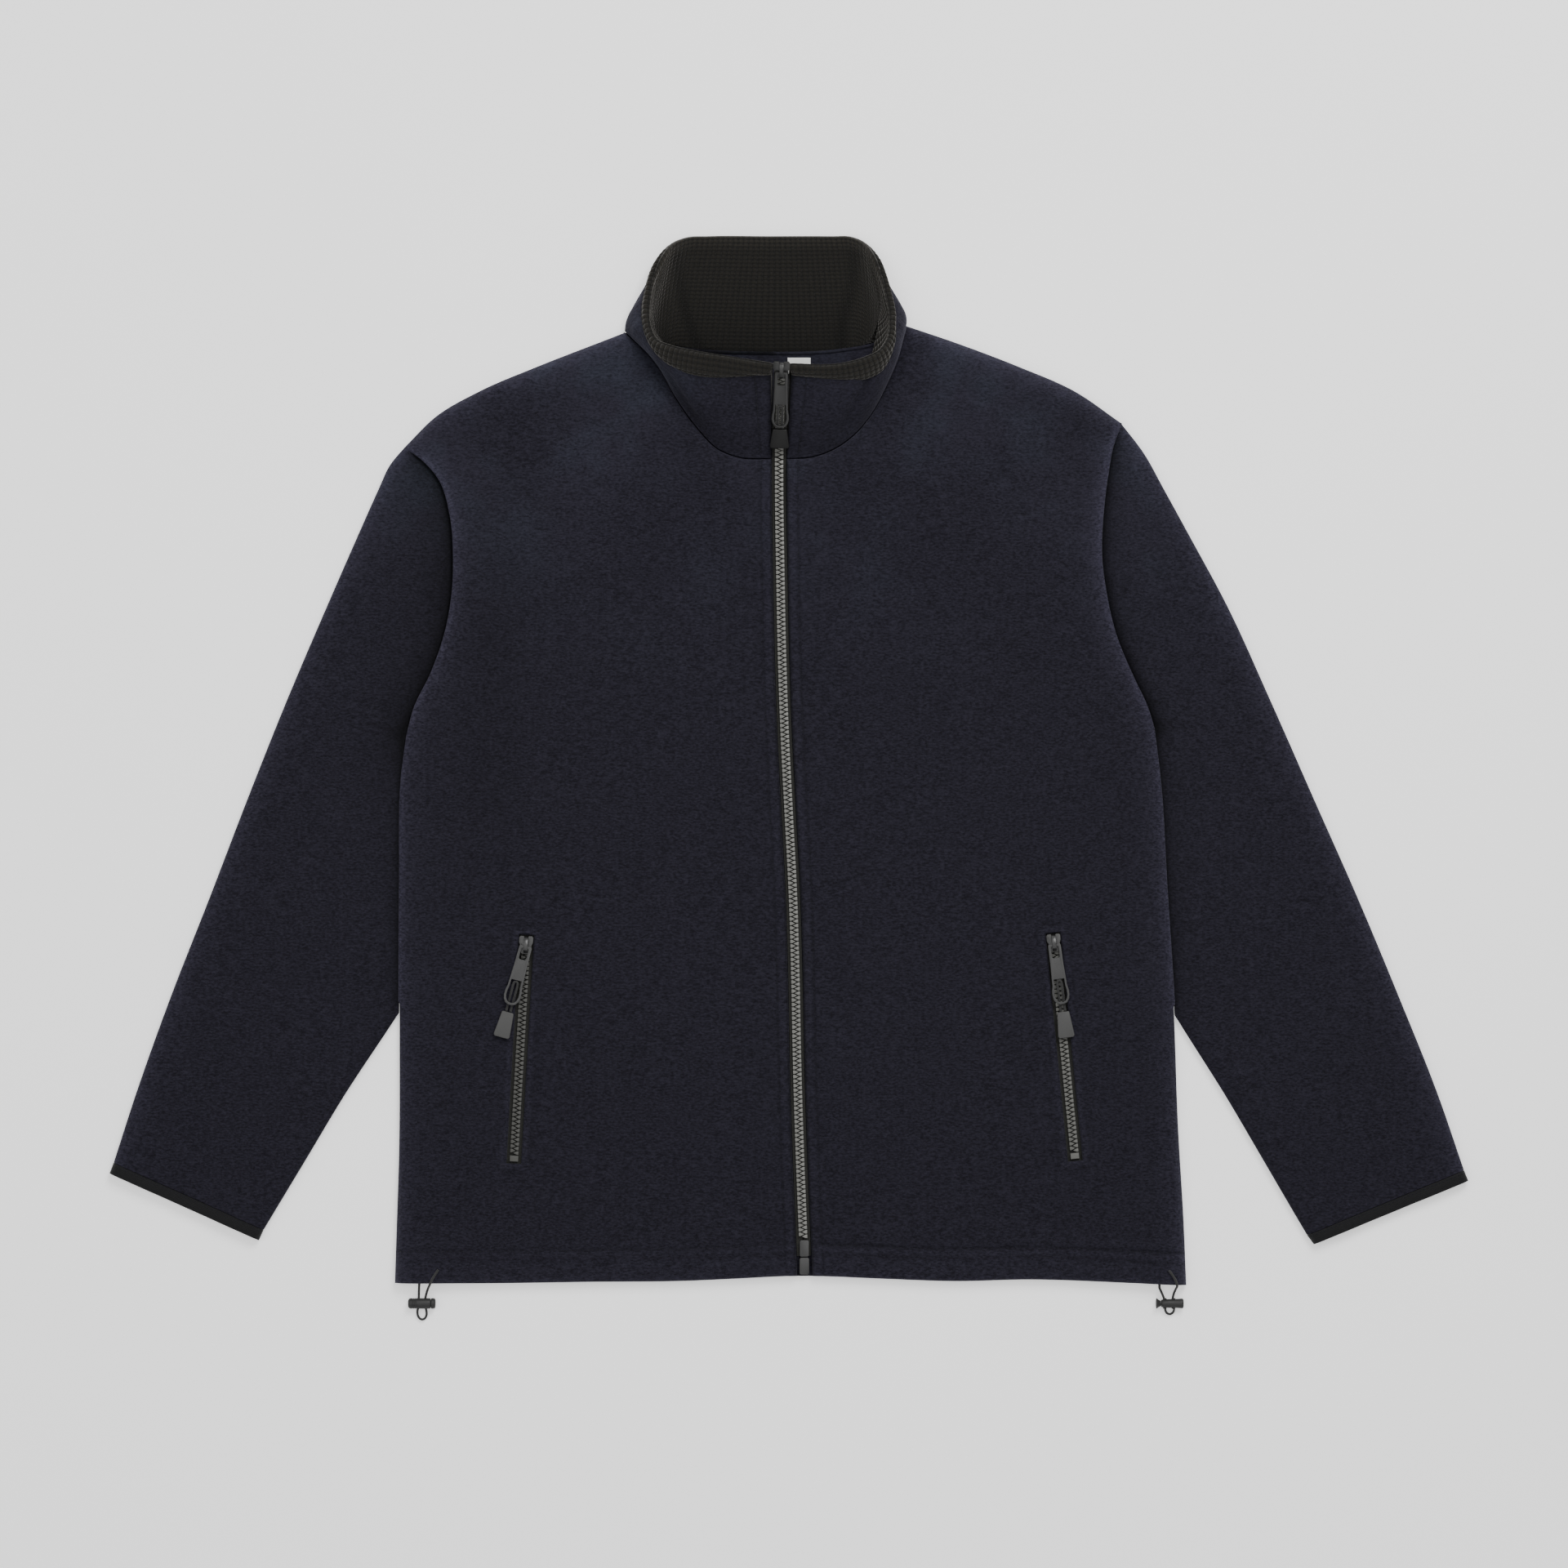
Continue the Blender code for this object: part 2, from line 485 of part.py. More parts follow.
# ---------------------------------------------------------------- sleeves
def sleeve_rows(side):
    """Points down a sleeve's two edges from the shoulder point to the cuff, and the armhole's direction."""
    arm_steps = np.delete(side.arm_steps[::-1], 1)
    normal = side.armhole.along(arm_steps)[:, ::-1] * (1, -1) * side.sign
    arm = side.armhole.at(arm_steps) + normal * SEAM
    arm[0] = side.armhole.points[-1] + side.outer.along(0) * 0.4
    beside_steps = np.array([s for s in side.side_steps[::-1] if s >= side.leaves - 0.01])
    beside = side.side.at(beside_steps) + (side.sign * SIDE_GAP, 0)
    below = side.below.at(side.below.length * np.array([0.12, 0.35, 0.68, 1]))
    inner = np.concatenate([arm, beside, below])
    reach = np.concatenate([[0], np.cumsum(np.linalg.norm(np.diff(inner, axis=0), axis=1))])
    share = reach / reach[-1]
    outer_steps = side.outer.length * share
    outer_steps[:3] = [0.4, 4.7, 14]
    outer = side.outer.at(outer_steps)
    cut = np.concatenate([-side.armhole.along(arm_steps), np.zeros((len(beside) + len(below), 2))])
    cut[len(arm) - 1] = -side.armhole.along([0])[0]
    return outer, inner, cut


def across_steps(width, n_inner=3):
    """Shares across a sleeve of this width, close together at its two edges."""
    near = np.array([0, 1.2, 4.7, 14])
    edge = near / width if width > 42 else np.array([0, 0.06, 0.17, 0.3])
    inner = np.linspace(edge[-1], 1 - edge[-1], n_inner + 2)[1:-1]
    return np.concatenate([edge, inner, 1 - edge[::-1]])


def sleeve(side):
    """A sleeve: one piece folded at its outer edge, its two long edges meeting under the arm."""
    outer_edge, inner_edge, cut_edge = sleeve_rows(side)
    widths = np.linalg.norm(inner_edge - outer_edge, axis=1)
    across = np.array([across_steps(w) for w in widths])[..., None]
    plan = outer_edge[:, None] * (1 - across) + inner_edge[:, None] * across
    columns = plan.shape[1]
    cut = np.zeros_like(plan)
    cut[:, -1] = cut_edge
    cuff = inner_edge[-1] - outer_edge[-1]
    cut[-1] = cuff / np.linalg.norm(cuff)
    cut[0] = cut_edge[0]
    level = upper_level(plan, "sleeve")
    thick = np.minimum(FLEECE, widths * TIP_WALL)[:, None] * np.ones(columns)
    seam = np.tile(np.linspace(0, 1, columns) ** 3 * SEAM / 2, (len(plan), 1))
    top = faces_of(plan, True, level, SLEEVE_ROUND, seam, cut, thick)
    under = faces_of(plan, False, None, UNDER_ROUND, seam, cut, thick)
    halves = [np.concatenate([t[:, ::-1], u[:, 1:]], axis=1) for t, u in zip(top, under)]
    for half in halves:
        half[0] = half[0, columns - 1]
    return wall(f"sleeve_{side.name}", halves[0], halves[1], "navy_fleece")


def cuff(side):
    """The knit binding round a sleeve's end: a flattened ring with its outer edge rounded over."""
    outer_edge, inner_edge, _ = sleeve_rows(side)
    start, end = outer_edge[-1], inner_edge[-1]
    (ox, oy), (ix, iy) = CUFF_EDGE[side.name]
    across = across_steps(np.linalg.norm(end - start))[:, None]
    down = np.array([-(end - start)[1], (end - start)[0]])
    down = down / np.linalg.norm(down)
    down = down if down[1] < 0 else -down
    rings = []
    for share, swell, reach in ((0, 0.0, 0.45), (0, 0.5, 2.0), (1, 0.5, -1.0), (1, -0.2, 0)):
        first = (start if share == 0 else np.array([ox, oy])) + down * reach
        last = (end if share == 0 else np.array([ix, iy])) + down * reach
        plan = first * (1 - across) + last * across
        edge = np.minimum(across[:, 0], 1 - across[:, 0]) * np.linalg.norm(last - first)
        curl = np.sqrt(1 - np.clip(1 - edge / SLEEVE_ROUND, 0, 1) ** 2)
        top = MID + (FLAT_TOP + SLEEVE_PUFF * puff(edge) + swell - MID) * curl
        low = MID - (MID - max(0.0, -swell)) * np.sqrt(1 - np.clip(1 - edge / UNDER_ROUND, 0, 1) ** 2)
        ring = np.concatenate([np.column_stack([plan, top]), np.column_stack([plan, low])[-2:0:-1]])
        rings.append(ring)
    inside = []
    for ring in (rings[3], rings[0]):
        centre = (ring[0] + ring[len(across) - 1]) / 2
        run = (ring[len(across) - 1] - ring[0])[:2]
        run /= np.linalg.norm(run)
        half = np.linalg.norm(ring[len(across) - 1] - ring[0])[None] / 2
        along = (ring[:, :2] - centre[:2]) @ run
        shrunk = along * (half - 3.0) / half
        z = MID + np.clip(ring[:, 2] - MID, -1.5, 0.9) * np.where(np.abs(along) > half - 0.5, 0, 1)
        inside.append(np.column_stack([centre[:2] + shrunk[:, None] * run, z]))
    return sweep(f"cuff_binding_{side.name}", rings + inside, "black_binding", closed=True)


# ---------------------------------------------------------------- collar
def collar_base():
    """The collar's lower edge, from the zip round the neck, and the plan directions away from the
    panels that it is sewn to: points on the outer face."""
    parts, away = [], []
    for side in SIDES.values():
        steps = side.neck_steps[::-1]
        run = side.neck.along(steps)
        out = np.column_stack([run[:, 1], -run[:, 0]]) * -side.sign
        out = np.where(out[:, 1:] < 0, -out, out)
        plan = side.neck.at(steps) + out * 0.45
        parts.append(plan[:-1] if side.name == "right" else plan[:-1][::-1])
        away.append(out[:-1] if side.name == "right" else out[:-1][::-1])
    steps = back_neck_steps()
    run = BACK_NECK_LINE.along(steps)
    back_away = np.column_stack([-run[:, 1], run[:, 0]])
    back_plan = BACK_NECK_LINE.at(steps) + back_away * 0.45
    corner = to_lines(parts[0][:, :2], FOLDS)[0], to_lines(parts[1][:, :2], FOLDS)[0]
    heights = [MID + (FLAT_TOP - MID) * np.sqrt(1 - np.clip(1 - d / BODY_ROUND, 0, 1) ** 2) for d in corner]
    edge = to_lines(back_plan, FOLDS)[0]
    under = MID - MID * np.sqrt(1 - np.clip(1 - edge / UNDER_ROUND, 0, 1) ** 2)
    under[[0, -1]] = MID
    base = np.concatenate([np.column_stack([parts[0], heights[0]]), np.column_stack([back_plan, under]),
                           np.column_stack([parts[1], heights[1]])])
    return base, np.concatenate([away[0], back_away, away[1]])


def collar_rows(shares_up):
    """The collar's outer face: straight up from the base to the rim, bellied out a little between."""
    base, away = collar_base()
    rim = Curve(RIM)
    n_front = {"right": len(SIDES["right"].neck_steps) - 1, "left": len(SIDES["left"].neck_steps) - 1}
    turn = [rim.nearest(RIM_AT_NECK["right"]), rim.nearest(RIM_AT_NECK["left"])]
    corner = [n_front["right"], len(base) - 1 - n_front["left"]]
    reach = np.concatenate([[0], np.cumsum(np.linalg.norm(np.diff(base, axis=0), axis=1))])
    places = np.concatenate([
        np.linspace(0, turn[0], corner[0] + 1)[:-1],
        turn[0] + (turn[1] - turn[0]) * (np.linspace(0, 1, corner[1] - corner[0] + 1)),
        np.linspace(turn[1], rim.length, len(base) - corner[1])[1:]])
    own = np.interp(reach, [0, reach[corner[0]], reach[corner[1]], reach[-1]], [0, *turn, rim.length])
    places = 0.45 * places + 0.55 * own
    top = rim.at(places)
    v = np.asarray(shares_up)[:, None, None]
    rows = base[None] * (1 - v) + top[None] * v
    middle = np.array([-15.0, 330.0])
    out = top[:, :2] - middle
    out /= np.linalg.norm(out, axis=1, keepdims=True)
    side_on = np.clip(1 - np.abs(out[:, 1]) * 1.1, 0, 1)
    belly = (4 * v[..., 0] * (1 - v[..., 0]) * 6.0 * side_on)[..., None]
    rows[..., :2] += belly * out[None]
    beside = np.clip((np.abs(top[:, 0] + 5.5) - 12) / 20, 0, 1) * (out[:, 1] < 0)
    rows[..., 2] += 4 * v[..., 0] * (1 - v[..., 0]) * 2.5 * beside
    return rows, away


def grid_normals(rows):
    """Unit normals of a grid of points, pointing out of the collar."""
    across = np.gradient(rows, axis=1)
    up = np.gradient(rows, axis=0)
    normal = np.cross(across, up)
    normal /= np.maximum(np.linalg.norm(normal, axis=-1, keepdims=True), 1e-9)
    return normal


def clear_of_panels(normal, base, away):
    """Turns the lowest row's way in from the face so that it never leads back over the panels."""
    inward = -normal
    back_first = int(np.argmin(base[:, 0]))
    back_last = int(np.argmax(base[:, 0]))
    for row in (back_first, back_last):
        away[row] = (0.33 * (1 if row == back_first else -1), 0.94)
    over = np.minimum((inward[:, :2] * away).sum(1, keepdims=True), 0)
    inward[:, :2] -= over * away
    inward /= np.linalg.norm(inward, axis=1, keepdims=True)
    room = np.where(inward[:, 2] < -0.2, (base[:, 2] - MID - SEAM) / np.maximum(-inward[:, 2], 0.2), COLLAR_FLEECE)
    return -inward * np.minimum(room / COLLAR_FLEECE, 1)[:, None]


def collar():
    """The shell, and the grid lining that stands inside it and rolls over its top edge."""
    up = np.array([0, 0.22, 0.44, 0.66, 0.84, 1.0])
    rows, away = collar_rows(up)
    normal = grid_normals(rows)
    normal *= 1 if normal[3, 2, 2] > 0 else -1
    normal[0] = clear_of_panels(normal[0], rows[0], away)
    long = np.linalg.norm(rows[-1] - rows[0], axis=1)
    shell_up = np.repeat(up[:, None], len(long), axis=1)
    shell_up[-1] = 1 - 3.2 / long
    face = sample_rows(rows, up, shell_up)
    lean = sample_rows(normal, up, shell_up)
    wall("collar_shell", face, face - lean * COLLAR_FLEECE, "navy_fleece")
    near = np.min([np.linalg.norm(rows[0][:, :2] - SIDES[n].neck.points[0], axis=1) for n in SIDES], axis=0)
    foot = 0.06 + 0.34 * np.exp(-((near / 22) ** 2))

    def at(share, out):
        share = np.broadcast_to(share, foot.shape)[None]
        return sample_rows(rows, up, share)[0] + sample_rows(normal, up, share)[0] * out

    back_face = -COLLAR_FLEECE - LINING_GAP
    inner_face = back_face - LINING
    knots = [foot] + [np.maximum(foot, k) for k in up[1:-1]]
    hem = 1 - np.array([0, 0.8, 2.9, 9.0])[:, None] / long
    ring = [at(k, back_face) for k in knots]
    turn = np.maximum(up[-2], hem[3])
    ring += [at(hem[2], back_face), at(hem[2], ROLL_GAP), at(turn, ROLL_GAP), at(hem[3], ROLL_GAP),
             at(hem[3], ROLL_GAP + 1.6), at(hem[2], ROLL_GAP + 1.7), at(hem[1], 0.9), at(hem[0], -1.6), at(hem[1], -3.9), at(hem[2], inner_face)]
    ring += [at(k, inner_face) for k in knots[::-1]]
    sweep("collar_lining", np.stack(ring, axis=1), "black_grid_fleece")


def sample_rows(rows, up, share):
    """Reads a grid of rows, known at heights up, at other heights for each column."""
    result = np.empty((share.shape[0], *rows.shape[1:]))
    for c in range(rows.shape[1]):
        for k in range(rows.shape[2]):
            result[:, c, k] = np.interp(share[:, c], up, rows[:, c, k])
    return result


def label():
    """A small plain neck label, sewn in at the back neck seam and lying on the back's inner face."""
    outline = [(-1.0, 287.0), (16.2, 287.0), (16.2, 300.6), (-1.0, 300.6)]
    plate("neck_label", outline, FLEECE + SEAM, FLEECE + SEAM + 1.0, lambda p: p, "white_label")


# ---------------------------------------------------------------- zips
def strip(name, centre, half, low, high, finish):
    """A flat strip: at each point of a centre line, half its width each way, between two depths."""
    centre = np.asarray(centre, float)
    half = np.broadcast_to(half, len(centre))[:, None]
    run = np.gradient(centre, axis=0)
    run /= np.linalg.norm(run, axis=1, keepdims=True)
    side = np.column_stack([run[:, 1], -run[:, 0], np.zeros(len(run))])
    side /= np.linalg.norm(side, axis=1, keepdims=True)
    up = np.cross(side, run)
    sections = [centre - side * half + up * low, centre + side * half + up * low,
                centre + side * half + up * high, centre - side * half + up * high]
    return sweep(name, np.stack(sections, axis=1), finish, smooth=30)


def main_zip_line():
    """The zip's middle on the fleece's outer face: along the fronts, then up the front of the collar."""
    y = np.array([-371, -336, -226, -104, 18, 140, 196, 212, 222, 232, 244, 262, 290.0])
    x = np.interp(y, [p[1] for p in ZIP_LINE] + [291], [p[0] for p in ZIP_LINE] + [-5.5])
    up = np.maximum(0, y - ZIP_LINE[-1][1])
    z = FLAT_TOP + (RIM[0][2] - FLAT_TOP) / (RIM[0][1] - ZIP_LINE[-1][1]) * up * (1 - np.exp(-up / RAMP_EASE))
    return np.column_stack([x, y, z])


def tube(name, path, radius, finish, sides=8, closed=False):
    """A round tube along a path, its section carried along without twisting."""
    path = np.asarray(path, float)
    run = np.roll(path, -1, 0) - np.roll(path, 1, 0) if closed else np.gradient(path, axis=0)
    run /= np.linalg.norm(run, axis=1, keepdims=True)
    side = np.cross(run[0], (0, 0, 1.0) if abs(run[0][2]) < 0.9 else (1.0, 0, 0))
    angle = np.arange(sides) * 2 * math.pi / sides
    sections = []
    for point, along in zip(path, run):
        side = side - along * (side @ along)
        side /= np.linalg.norm(side)
        up = np.cross(along, side)
        sections.append(point + radius * (np.outer(np.cos(angle), side) + np.outer(np.sin(angle), up)))
    return sweep(name, sections, finish, closed=closed, smooth=60)


def frame_at(pin, down, normal):
    """A function from slider coordinates (x across, y down the pull, z up) to the jacket's own."""
    down, normal = np.array(down, float), np.array(normal, float)
    down /= np.linalg.norm(down)
    normal -= down * (normal @ down)
    normal /= np.linalg.norm(normal)
    across = np.cross(down, normal)
    turn = np.stack([across, down, normal])
    return lambda points: np.asarray(points, float) @ turn + np.array(pin)


def mirrored(half):
    """A closed outline from its right-hand half, given from top to bottom."""
    return half + [(-x, y) for x, y in half[::-1] if x > 0]


def slider(name, place, half):
    """A slider's top plate with its two shoulders, and the crown that holds the pull's pin."""
    outline = mirrored([(1.4, -7.5), (2.0, -8.3), (half - 1, -8.3), (half, -7.2), (half, -3.4), (half - 1.0, -1.2),
                        (4.2, 3.6), (2.6, 5.0)])
    body = plate(name, outline, -3.0, -1.5, place, "gunmetal")
    arch = [(-7.9, -1.7), (-7.1, 0.7), (-4.6, 2.3), (-1.0, 2.8), (2.2, 2.3), (4.0, 0.4), (4.5, -1.7),
            (3.1, -1.7), (2.8, 0.3), (1.6, 1.5), (-1.6, 1.6), (-3.2, 0.8), (-3.6, -1.7)]
    sections = [place(np.array([(x, y, z) for y, z in arch])) for x in (-1.5, 1.5)]
    crown = sweep(f"crown_of_{name}", sections, "gunmetal", smooth=30)
    carve(body, crown, "UNION")
    return body


def pull(name, place, end, tilt):
    """A pull: the tab with its window and its wire loop, a doubled cord in the loop, the moulded end.

    The end is given as its top and bottom along the pull with its half width at each.
    """
    outline = mirrored([(4.3, -0.9), (4.75, 0.2), (4.9, 14), (5.5, 30.3), (6.3, 34.0), (6.4, 37.5), (5.7, 40.8),
                        (3.9, 43.4), (1.4, 44.5)])
    tab = plate(f"{name}_tab", outline, -0.9, 0.9, place, "gunmetal")
    window = plate(f"cut_{name}_window", box((-2.8, 0.9), (2.8, 9.6)), -2, 2, place, "gunmetal")
    loop_hole = mirrored([(3.9, 25.4), (4.0, 30.4), (4.6, 34.2), (4.7, 37.4), (4.1, 40.1), (2.8, 42.0), (1.0, 42.8)])
    loop = plate(f"cut_{name}_loop", loop_hole, -2, 2, place, "gunmetal")
    carve(tab, window)
    carve(tab, loop)
    (top, top_half), (bottom, bottom_half) = end
    start = top - 0.3
    half = [(-1.6, start, -2.05), (-1.6, 44.6, -2.08), (-1.6, 42.4, -2.05), (-1.65, 39.5, -1.5), (-1.7, 36, -0.4),
            (-1.7, 32.5, 0.0), (-1.65, 29.2, 0.0), (-1.2, 27.3, 0.0), (0, 26.6, 0.0)]
    if start - 44.6 > 1.5:
        half.insert(1, (-1.6, (start + 44.6) / 2, -2.05))
    cord_line = half + [(-x, y, z) for x, y, z in half[-2::-1]]
    tube(f"{name}_cord", place(cord_line), 0.85, "black_cord", sides=6)
    shape = mirrored([(top_half - 0.5, top), (top_half, top + 0.9), (bottom_half, bottom - 1.4),
                      (bottom_half - 1.0, bottom)])
    lifted = lambda p: place(p + np.column_stack([p[:, 0] * 0, p[:, 0] * 0, (p[:, 1] - top) * tilt]))
    plate(f"{name}_end", shape, -2.9, -0.3, lifted, "black_plastic")


def main_zip():
    """Two tapes, the closed teeth, the box and pin at the hem, and the slider at the collar's top."""
    line = main_zip_line()
    for sign, name in ((-1, "right"), (1, "left")):
        width = np.where(line[:, 1] < 200, 9.0, ZIP_HALF_OPENING - 0.45)
        middle = line + np.column_stack([sign * (width / 2 + 0.1), np.zeros(len(line)), np.zeros(len(line))])
        strip(f"zip_tape_{name}", middle, width / 2 - 0.1, -TAPE_BELOW - TAPE, -TAPE_BELOW, "zip_tape")
    teeth = line.copy()
    teeth[0, 1] = -358
    strip("zip_teeth", teeth[:-1].tolist() + [(-5.55, 288, line[-1, 2] - 1.1)], 4.0,
          -CHAIN_BELOW - CHAIN_HEIGHT, -CHAIN_BELOW, "zip_teeth")
    x = ZIP_LINE[0][0]
    plate("zip_pin", box((x - 4.0, -371.6), (x + 3.2, -359.0)), 4.5, 6.6, lambda p: p, "gunmetal")
    plate("zip_box", box((x - 4.2, -384.6), (x + 3.4, -372.0)), 3.3, 7.2, lambda p: p, "gunmetal")
    down, normal, pin = main_pull_frame()
    place = frame_at(pin, down, normal)
    slider("main_slider", place, 6.2)
    pull("main_pull", place, ((46.3, 5.5), (61.0, 7.3)), 0.14)


def main_pull_frame():
    """The way the main pull lies, the cloth's normal there, and its hinge pin's place."""
    line = main_zip_line()
    point = np.array([np.interp(MAIN_SLIDER_Y, line[:, 1], line[:, k]) for k in range(3)])
    down = line[-2] - line[-1]
    down /= np.linalg.norm(down)
    normal = np.cross(down, (-1.0, 0, 0))
    normal = normal if normal[2] > 0 else -normal
    return down, normal / np.linalg.norm(normal), point + normal / np.linalg.norm(normal) * PIN_ABOVE


def face_height(places, along):
    """The highest point of a front's face within a pull's width of some places."""
    across = np.array([-along[1], along[0]]) * 6.4
    return np.max([upper_level(places + across * k, "body") for k in (-1.0, 0.0, 1.0)], axis=0)


def pocket_frame(name):
    """The pin of a pocket's pull, the zip's direction, and the pull's direction."""
    pocket = POCKETS[name]
    top, bottom = np.array(pocket["top"]), np.array(pocket["bottom"])
    down = (bottom - top) / np.linalg.norm(bottom - top)
    pin = top + down * SLIDER_AT
    height = float(face_height(pin + down * np.array([[-8.0], [0.0], [5.0]]), down).max())
    turn = math.radians(pocket["pull_turn"])
    pull_down = np.array([down[0] * math.cos(turn) - down[1] * math.sin(turn),
                          down[0] * math.sin(turn) + down[1] * math.cos(turn)])
    reach = np.array([15.0, 30.0, 42.0, 51.0, 60.0, 69.0])
    slope = np.max((face_height(pin + pull_down * reach[:, None], pull_down) - height) / reach)
    return np.array([*pin, height + PIN_ABOVE]), np.array([*down, 0]), np.array([*pull_down, slope])


def pocket_zip(name):
    """A pocket's zip, set behind the slit in its front."""
    pocket = POCKETS[name]
    pin, down, pull_down = pocket_frame(name)
    top, bottom = np.array([*pocket["top"], 0.0]), np.array([*pocket["bottom"], 0.0])
    face = pin[2] - PIN_ABOVE
    base = MID - 0.6
    strip(f"pocket_tape_{name}", [top - down * 5, bottom + down * 5], 8.5, base - TAPE, base, "zip_tape")
    strip(f"pocket_teeth_{name}", [top + down * 2, bottom - down * 6.3], 3.0, base + SEAM, face - CHAIN_BELOW,
          "zip_teeth")
    stop = [bottom - down * 6.0, bottom - down * 1.6]
    strip(f"pocket_stop_{name}", stop, 3.2, base + SEAM, face - CHAIN_BELOW + 0.2, "zip_teeth")
    slider(f"pocket_slider_{name}", frame_at(pin, down, (0, 0, 1.0)), POCKET_HALF_OPENING - 0.3)
    pull(f"pocket_pull_{name}", frame_at(pin, pull_down, (0, 0, 1.0)), ((50.0, 4.6), (69.6, 6.2)), 0.02)


# ---------------------------------------------------------------- drawcords
def drawcord(name):
    """One drawcord out of the hem, through its lock, round its loop and back, with the lock on it."""
    points = np.array(DRAWCORDS[name], float)
    on_hem = (points[:, 1] > HEM_EDGE_Y[name]) & (points[:, 2] > 8)
    inside = np.column_stack([points[:, 0], np.maximum(points[:, 1], HEM_EDGE_Y[name] + 2.5)])
    level = upper_level(inside, "body") + CORD / 2 + 0.35
    points[:, 2] = np.where(on_hem, level, points[:, 2])
    line = Curve(points)
    count = int(line.length / (2.2 * CORD))
    tube(f"drawcord_{name}", line.at(np.linspace(0, line.length, count)), CORD / 2, "black_cord", sides=8)
    lock = LOCKS[name]
    (cx, cy), head = lock["centre"], lock["head"]
    half = LOCK_LONG / 2
    seat = half - LOCK_HEAD
    radius = LOCK_RADIUS
    if lock["trumpet"]:
        body = [(-half, radius - 0.6), (-half + 1, radius - 0.2), (-half + 5, radius - 0.5), (seat - 2, radius - 0.8),
                (seat - 0.3, radius - 1.6)]
        cap = [(seat, radius - 1.7), (seat + 1.2, radius - 1.3), (half - 0.6, radius), (half, radius - 0.3)]
    else:
        body = [(-half, radius - 1.3), (-half + 0.8, radius - 0.3), (-half + 2, radius), (seat - 0.3, radius)]
        cap = [(seat, radius), (half - 1.2, radius), (half - 0.3, radius - 0.7), (half, radius - 1.6)]
    angle = np.arange(14) * 2 * math.pi / 14

    def turned(part, profile):
        rings = [np.column_stack([np.full(14, cx + head * x), cy + r * np.cos(angle),
                                  LOCK_RADIUS + 0.02 + r * np.sin(angle)]) for x, r in profile]
        return sweep(part, rings, "black_plastic", smooth=50)

    barrel = turned(f"cordlock_barrel_{name}", body)
    turned(f"cordlock_button_{name}", cap)
    xs = [p[0] for p in line.points if abs(p[1] - cy) < LOCK_RADIUS + 1]
    low, high = min(xs) - CORD / 2 - 0.5, max(xs) + CORD / 2 + 0.5
    tool = plate(f"cut_lock_{name}", box((low, cy - 8), (high, cy + 8)), 2.5, 5.6, lambda p: p, "black_plastic")
    carve(barrel, tool)


def main():
    for old in list(bpy.data.objects):
        bpy.data.objects.remove(old, do_unlink=True)
    back()
    for side in SIDES.values():
        front(side)
        sleeve(side)
        cuff(side)
    collar()
    label()
    main_zip()
    for name in POCKETS:
        pocket_zip(name)
    for name in DRAWCORDS:
        drawcord(name)


main()
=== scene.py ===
"""A fleece zip jacket laid flat on its back, dressed for rendering over its CAD solids.

Written as an add-on: the property groups hold the sizes and colours, one operator makes each piece or
group of like pieces, and the panel lists them. Sizes inside the shape functions are in millimetres.
The frame: +x towards the wearer's left sleeve, +y up the jacket, +z up from the surface it lies on.
"""

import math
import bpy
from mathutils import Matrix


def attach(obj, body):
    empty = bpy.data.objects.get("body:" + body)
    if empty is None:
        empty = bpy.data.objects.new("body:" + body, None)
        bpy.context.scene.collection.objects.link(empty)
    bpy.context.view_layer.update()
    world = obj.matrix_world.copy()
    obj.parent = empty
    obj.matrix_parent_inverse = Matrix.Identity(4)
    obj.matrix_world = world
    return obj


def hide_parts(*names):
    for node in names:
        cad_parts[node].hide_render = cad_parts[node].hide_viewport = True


bl_info = {
    "name": "Fleece zip jacket",
    "version": (1, 0, 0),
    "blender": (4, 5, 0),
    "location": "View3D > Sidebar > Jacket",
    "description": "Makes the cloth, zips, cords and studio of a fleece zip jacket laid flat",
    "category": "Object",
}

import bmesh
import bpy
import numpy as np

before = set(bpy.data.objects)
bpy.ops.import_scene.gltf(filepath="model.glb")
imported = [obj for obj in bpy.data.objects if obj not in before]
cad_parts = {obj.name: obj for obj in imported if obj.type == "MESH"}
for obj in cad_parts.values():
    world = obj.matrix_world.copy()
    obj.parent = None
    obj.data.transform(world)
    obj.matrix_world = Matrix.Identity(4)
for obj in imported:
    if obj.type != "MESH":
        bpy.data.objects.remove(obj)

MM = 0.001

SEAM = 0.3  # clear space between two pieces that are sewn together
SIDE_GAP = 0.5  # clear space between the body's side and the sleeve that lies beside it
FLEECE = 3.0
COLLAR_FLEECE = 2.5
LINING = 1.6
LINING_GAP = 0.6  # between the collar's shell and its lining inside it
MID = 4.7  # height of the side, shoulder and sleeve edges above the surface
FLAT_TOP = 7.5  # height of the upper face where the layers lie flat
BODY_ROUND, SLEEVE_ROUND, UNDER_ROUND = 6.5, 5.5, MID  # how far in from an edge its rounding runs
BODY_PUFF, SLEEVE_PUFF = 3.8, 1.3  # how much the cloth stands up just inside its edges
PUFF_AT = 14.0  # how far in from an edge it stands highest
INNER_EASE = 0.5  # how much wider an edge's inner curve is than its outer one less the wall, in walls
HEM_DEPTH = 24.0  # the drawcord casing, from the hem's edge to its row of stitches
HEM_FLEECE = 4.4  # the turned-up hem
ZIP_HALF_OPENING = 5.85  # from the zip's middle to each fleece edge
TAPE = 0.8
TAPE_BELOW, CHAIN_BELOW = 3.4, 0.6  # how far the tape and the top of the teeth lie under the fleece's face
CHAIN_HEIGHT = 2.5
BINDING = 8.5  # width of the cuff binding
CUFF_TONGUE = 3.5  # how far its knit goes on into the sleeve
PIN_ABOVE = 3.3  # a pull's hinge pin above the fleece's face
